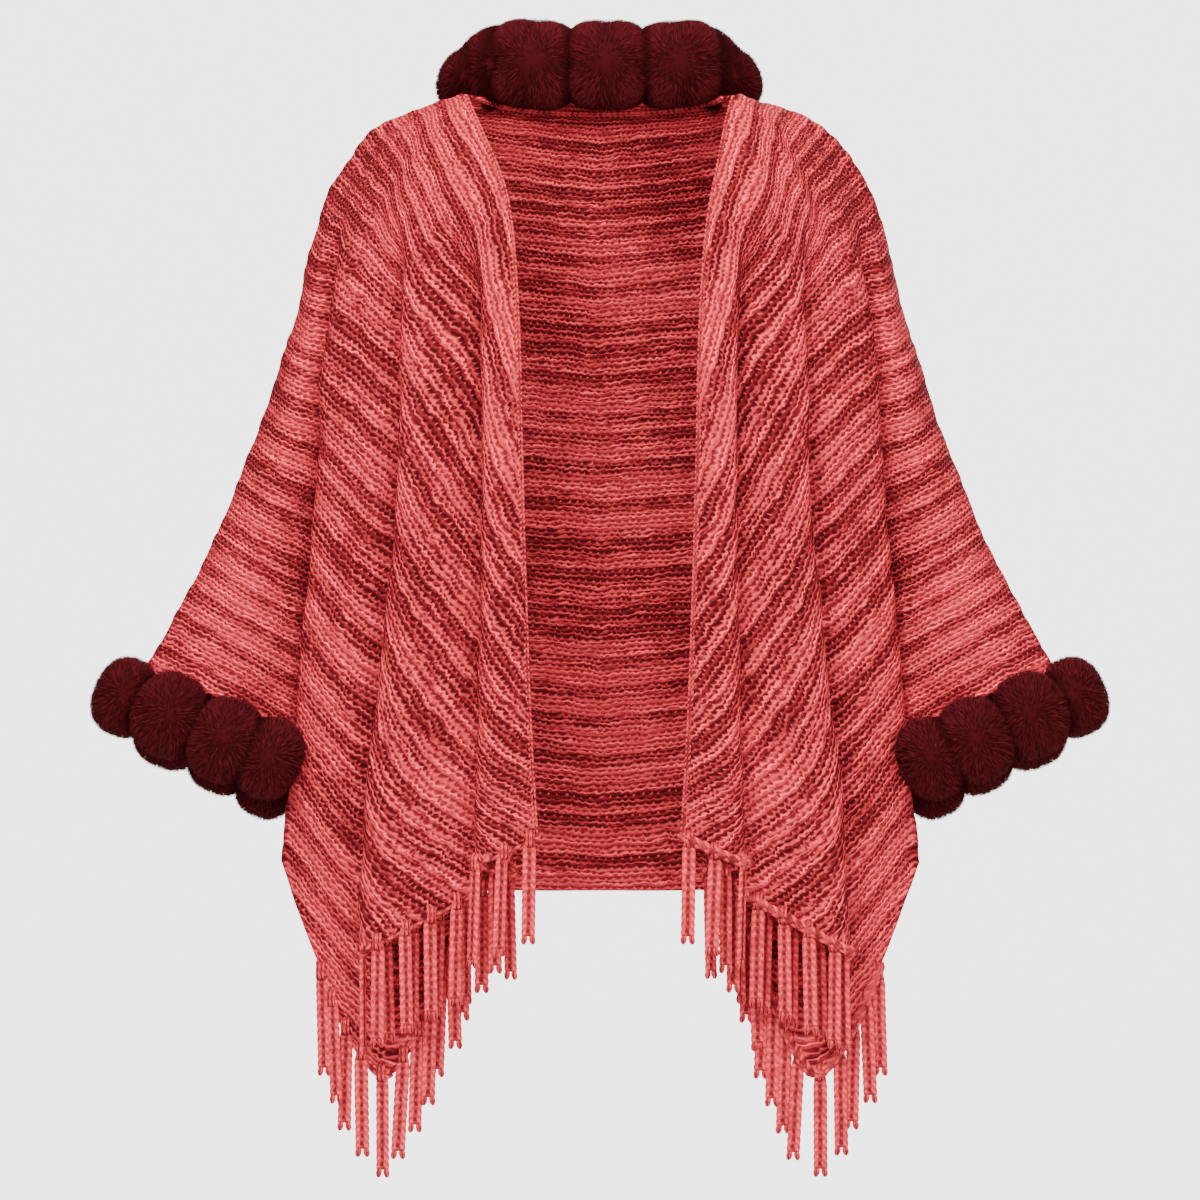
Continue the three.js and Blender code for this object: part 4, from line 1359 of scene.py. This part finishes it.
            # painted seam light: 0.1 in the seams between balls, 1 clear of them
            lights.append(0.1 + 0.9 * ease(clear[keep], *self.seam))
        root, normal, centre, painted_seam_light = map(np.concatenate, (roots, normals, centres, lights))
        count = len(root)
        whorl = np.array(self.whorl)
        away = root - centre
        away = away - (away @ whorl)[:, None] * whorl
        comb = unit(away) - (unit(away) * normal).sum(1)[:, None] * normal
        comb = unit(comb + dice.normal(0, self.stray, (count, 3)))
        comb = unit(comb - (comb * normal).sum(1)[:, None] * normal)
        length = self.length * dice.uniform(0.75, 1.05, count)[:, None]
        start, finish = (unit(out * normal + combed * comb)
                         for out, combed in (self.lower, self.upper))
        middle = root + 0.5 * length * start
        tip = middle + 0.5 * length * finish
        across = unit(np.cross(start, normal) + dice.normal(0, 0.12, (count, 3)))
        wide = self.width * dice.uniform(0.7, 1.2, count)[:, None] * across / 2
        points = np.stack([root - wide, root + wide, middle + 0.8 * wide, middle - 0.8 * wide,
                           tip], axis=1).reshape(-1, 3)
        base = 5 * np.arange(count)
        quads = np.stack([base, base + 1, base + 2, base + 3], axis=1)
        triangles = np.stack([base + 3, base + 2, base + 4], axis=1)
        # painted shade in the seams: less tip lightening, and the colour of a strand's lower part
        strand_tone_and_seam_shade = np.repeat(dice.uniform(0, 1, count) * painted_seam_light, 5)
        rise = np.tile([0.0, 0.0, 0.55, 0.55, 1.0], count) * np.repeat(0.25 + 0.75 * painted_seam_light, 5)
        soft = np.repeat(unit(normal + dice.normal(0, self.softness, (count, 3))), 5, axis=0)
        return points, quads, triangles, np.stack([strand_tone_and_seam_shade, rise], axis=1), soft

    def build(self, name: str, node: str, material: bpy.types.Material, seed: int) -> None:
        """Skin and pile of the row as one piece.

        Args:
            name: Piece name.
            node: Node of the frame that the piece replaces.
            material: Fur.
            seed: Seed of the pile.
        """
        parts = [self.pile(seed)]
        offset = len(parts[0][0])
        for ball in self.balls:
            points, quads, caps = self.skin(ball)
            quads, caps = outward(points, [quads, caps])
            parts.append((points, quads + offset, caps + offset,
                          np.tile([0.3, 0.5], (len(points), 1)),
                          unit(points - self.centre(ball))))
            offset += len(points)
        points, quads, triangles, places, normals = map(np.concatenate, zip(*parts))
        piece = make_object(name, points, [quads, triangles], material, places, normals=normals)
        declare(piece, node)


def declare(piece: bpy.types.Object, node: str) -> None:
    """Fix a piece to the garment's body and hide the frame's node that it stands for.

    Args:
        piece: The piece.
        node: Node of the frame that it replaces.
    """
    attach(piece, "root")
    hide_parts(node)


class Cardigan:
    """The whole garment: five knitted panels, chain edges, fringes, fur collar and fur cuffs."""

    def __init__(self) -> None:
        self.cape = Cape()
        self.knit = Knit()
        self.knit_material = KnitFinish().material()
        self.chain_material = ChainFinish().material()
        self.cord_material = CordFinish().material()
        self.fur_material = FurFinish().material()
        self.edge_chain = Chain(width=6.0, pitch=5.0, yarn=2.6)
        self.thick_chain = Chain(width=10.0, pitch=9.5, yarn=5.2)

    def build(self) -> None:
        """Make and declare every piece."""
        back = self.cape.back()
        back_normals = grid_normals(back[..., :3])
        back_piece = self.panel("knit_back", "back_panel", back, back_normals, SEED["back"])
        neck = self.neck_chain(back[..., :3], back_normals)
        for side in Side:
            front = self.cape.front(side)
            sleeve = self.cape.sleeve(side)
            front_normals = grid_normals(front[..., :3])
            sleeve_normals = grid_normals(sleeve[..., :3])
            rows = len(self.cape.sleeve_shares)
            shared = unit(front_normals[:rows, -1] + sleeve_normals[:, 0])
            front_normals[:rows, -1] = sleeve_normals[:, 0] = shared
            node = f"front_{side.word}"
            front_piece = self.panel(f"knit_{node}", node, front, front_normals, SEED["front"])
            sleeve_piece = self.panel(f"knit_sleeve_{side.word}", f"sleeve_{side.word}", sleeve,
                                      sleeve_normals, SEED["sleeve"])
            edge = self.chain_piece(f"chain_edge_{side.word}", node, front[:, 0, :3],
                                    front_normals[:, 0], self.edge_chain)
            end = sum(FRONT_COLUMNS[:TIP_STRETCH]) + round(FRINGE_END * FRONT_COLUMNS[TIP_STRETCH])
            line, facing = front[-1, : end + 1, :3], front_normals[-1, : end + 1]
            fringe = self.fringe(side, line, facing)
            hem = self.chain_piece(f"chain_hem_{side.word}", node, line + facing * HEM_OFFSET,
                                   facing, self.thick_chain)
            cuff = FurRow(CUFF_BALLS, side.sign, CUFF_STRANDS, CUFF_SLOPE, CUFF_LEAN)
            cuff.build(f"fur_cuff_{side.word}_pile", f"fur_cuff_{side.word}", self.fur_material,
                       SEED["cuff"])
        collar = FurRow(COLLAR_BALLS, Side.LEFT.sign, COLLAR_STRANDS)
        collar.build("fur_collar_pile", "fur_collar", self.fur_material, SEED["collar"])

    def panel(self, name: str, node: str, grid: Array, normals: Array,
              seed: int) -> bpy.types.Object:
        """Knitted panel as a closed thin shell.

        Args:
            name: Piece name.
            node: Node that it replaces.
            grid: Grid (rows, columns, 4).
            normals: Unit normals.
            seed: Seed of its unevenness.

        Returns:
            The piece.
        """
        stitches = stitch_places(grid[..., :3], grid[..., 3])
        levels = self.knit.levels(grid[..., 3], stitches)
        middle = self.knit.raised(grid, levels, normals, seed)
        points, faces = self.knit.shell(middle, normals)
        places = np.stack([stitches, grid[..., 3]], axis=-1).reshape(-1, 2) * MM
        piece = make_object(name, points, faces, self.knit_material, np.tile(places, (2, 1)),
                            np.tile(levels.ravel(), 2))
        declare(piece, node)
        area = np.linalg.norm(np.cross(np.diff(grid[..., :3], axis=0)[:, :-1],
                                       np.diff(grid[..., :3], axis=1)[:-1]), axis=-1).sum()
        log.info("%s: %.3f square metres", name, area * MM * MM)
        return piece

    def chain_piece(self, name: str, node: str, path: Array, facing: Array,
                    chain: Chain) -> bpy.types.Object:
        """Crocheted chain along an edge of a panel.

        Args:
            name: Piece name.
            node: Node of the panel.
            path: Points of the edge, (n, 3).
            facing: Direction in which the chain faces at each point.
            chain: Sizes of the chain.

        Returns:
            The piece.
        """
        points, quads, places = chain.along_path(path, facing)
        piece = make_object(name, points, outward(points, [quads]), self.chain_material, places)
        declare(piece, node)
        return piece

    def neck_chain(self, points: Array, normals: Array) -> bpy.types.Object:
        """Chain on the inner face of the back, just under the collar, lowest in the middle."""
        aside = np.abs(points[0, :, 0]) / NECK_REACH
        wanted = NECK_LOW + NECK_RISE * np.minimum(aside, 1.0) ** 2
        below = np.clip((points[..., 2] > wanted).sum(axis=0), 1, len(points) - 1)
        columns = np.arange(points.shape[1])
        upper, lower = points[below - 1, columns], points[below, columns]
        share = np.clip((upper[:, 2] - wanted) / (upper[:, 2] - lower[:, 2]), 0, 1)[:, None]
        facing = -normals[below, columns]
        path = upper * (1 - share) + lower * share + facing * NECK_OFFSET
        return self.chain_piece("chain_neck", "back_panel", path, facing, self.edge_chain)

    def fringe(self, side: Side, line: Array, facing: Array) -> bpy.types.Object:
        """Fringe on the hem of a front, from its edge to just past its tip."""
        points, faces, places = Fringe().build(line, facing, SEED["fringe"])
        piece = make_object(f"fringe_{side.word}_cords", points, outward(points, faces),
                            self.cord_material, places)
        declare(piece, f"fringe_{side.word}")
        return piece


@dataclass(frozen=True)
class Studio:
    """Pale sweep, soft lights and the camera of a straight front view."""

    middle: float = -0.43        # height of the picture's centre
    frame_width: float = 1.032   # metres across the picture at the garment
    distance: float = 8.0        # from the camera to the front of the garment
    depth: float = 0.08          # from there to the middle of the garment
    far: float = 40.0            # how far the camera sees
    daylight: tuple = (0.9, 0.91, 0.92, 1)
    daylight_strength: float = 0.5
    aim: tuple = (0.0, 0.0, -0.4)    # place that every light faces
    floor: float = -1.9
    reach: float = 12000.0       # millimetres from the middle to the sweep's sides and front
    wall: float = 11900.0        # millimetres from the middle back to its wall
    bend: float = 900.0          # radius between its floor and its wall
    height: float = 9000.0
    glow: float = 2.95           # strength of the backdrop where the camera sees it
    pale: tuple = linear(236, 237, 237)
    lights: tuple = (            # name, place in metres, side in metres, watts
        ("soft key", (-1.5, -4.2, 1.9), 2.0, 345),
        ("soft fill", (1.4, -4.6, 0.5), 2.6, 255),
        ("top light", (0.0, -1.1, 2.4), 1.6, 150),
        ("back light", (1.8, 4.2, 1.4), 2.2, 210),
    )

    def build(self) -> None:
        """Make the sweep, the lights, the world and the camera."""
        self.sweep()
        for light in self.lights:
            self.light(*light)
        world = bpy.data.worlds.new("studio")
        world.use_nodes = True
        background = world.node_tree.nodes["Background"]
        background.inputs["Color"].default_value = self.daylight
        background.inputs["Strength"].default_value = self.daylight_strength
        bpy.context.scene.world = world
        camera = bpy.data.cameras.new("camera")
        camera.lens = camera.sensor_width * self.distance / self.frame_width
        camera.clip_end = self.far
        stand = bpy.data.objects.new("camera", camera)
        stand.location = (0, -self.distance - self.depth, self.middle)
        stand.rotation_euler = (math.pi / 2, 0, 0)
        bpy.context.scene.collection.objects.link(stand)
        bpy.context.scene.camera = stand

    def sweep(self) -> None:
        """Floor that curves up into a backdrop."""
        surface = Surface("pale sweep", 1.0, 0.5)
        surface.shader.inputs["Base Color"].default_value = self.pale
        graph = surface.graph
        seen = graph.node("ShaderNodeLightPath").outputs["Is Camera Ray"]
        graph.link(graph.mix(seen, (0.0, 0.0, 0.0, 1.0), (1.0, 1.0, 1.0, 1.0)),
                   surface.shader.inputs["Emission Color"])
        surface.shader.inputs["Emission Strength"].default_value = self.glow
        turn = np.linspace(0, np.pi / 2, 24)
        line = np.concatenate([
            [[-self.reach, 0.0]],
            np.stack([self.wall - self.bend + self.bend * np.sin(turn),
                      self.bend - self.bend * np.cos(turn)], axis=1),
            [[self.wall, self.height]]])
        points = np.stack([np.stack([np.full(len(line), wide), line[:, 0],
                                     line[:, 1] + self.floor / MM], axis=1)
                           for wide in (-self.reach, self.reach)], axis=1).reshape(-1, 3)
        piece = make_object("sweep", points, [grid_faces(len(line), 2)], surface.material)

    def light(self, name: str, place: tuple, size: float, power: float) -> None:
        """Square soft light that faces the garment.

        Args:
            name: Name of the light.
            place: Where it stands, in metres.
            size: Length of its side.
            power: Watts.
        """
        lamp = bpy.data.lights.new(name, "AREA")
        lamp.shape = "SQUARE"
        lamp.size = size
        lamp.energy = power
        stand = bpy.data.objects.new(name, lamp)
        stand.location = place
        aim = np.array(self.aim) - np.array(place)
        yaw = math.atan2(aim[1], aim[0]) - math.pi / 2
        pitch = math.atan2(aim[2], math.hypot(aim[0], aim[1])) + math.pi / 2
        stand.rotation_euler = (pitch, 0, yaw)
        bpy.context.scene.collection.objects.link(stand)


def main() -> None:
    """Build the garment and the studio."""
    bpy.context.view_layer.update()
    Cardigan().build()
    Studio().build()


if __name__ == "__main__":
    main()
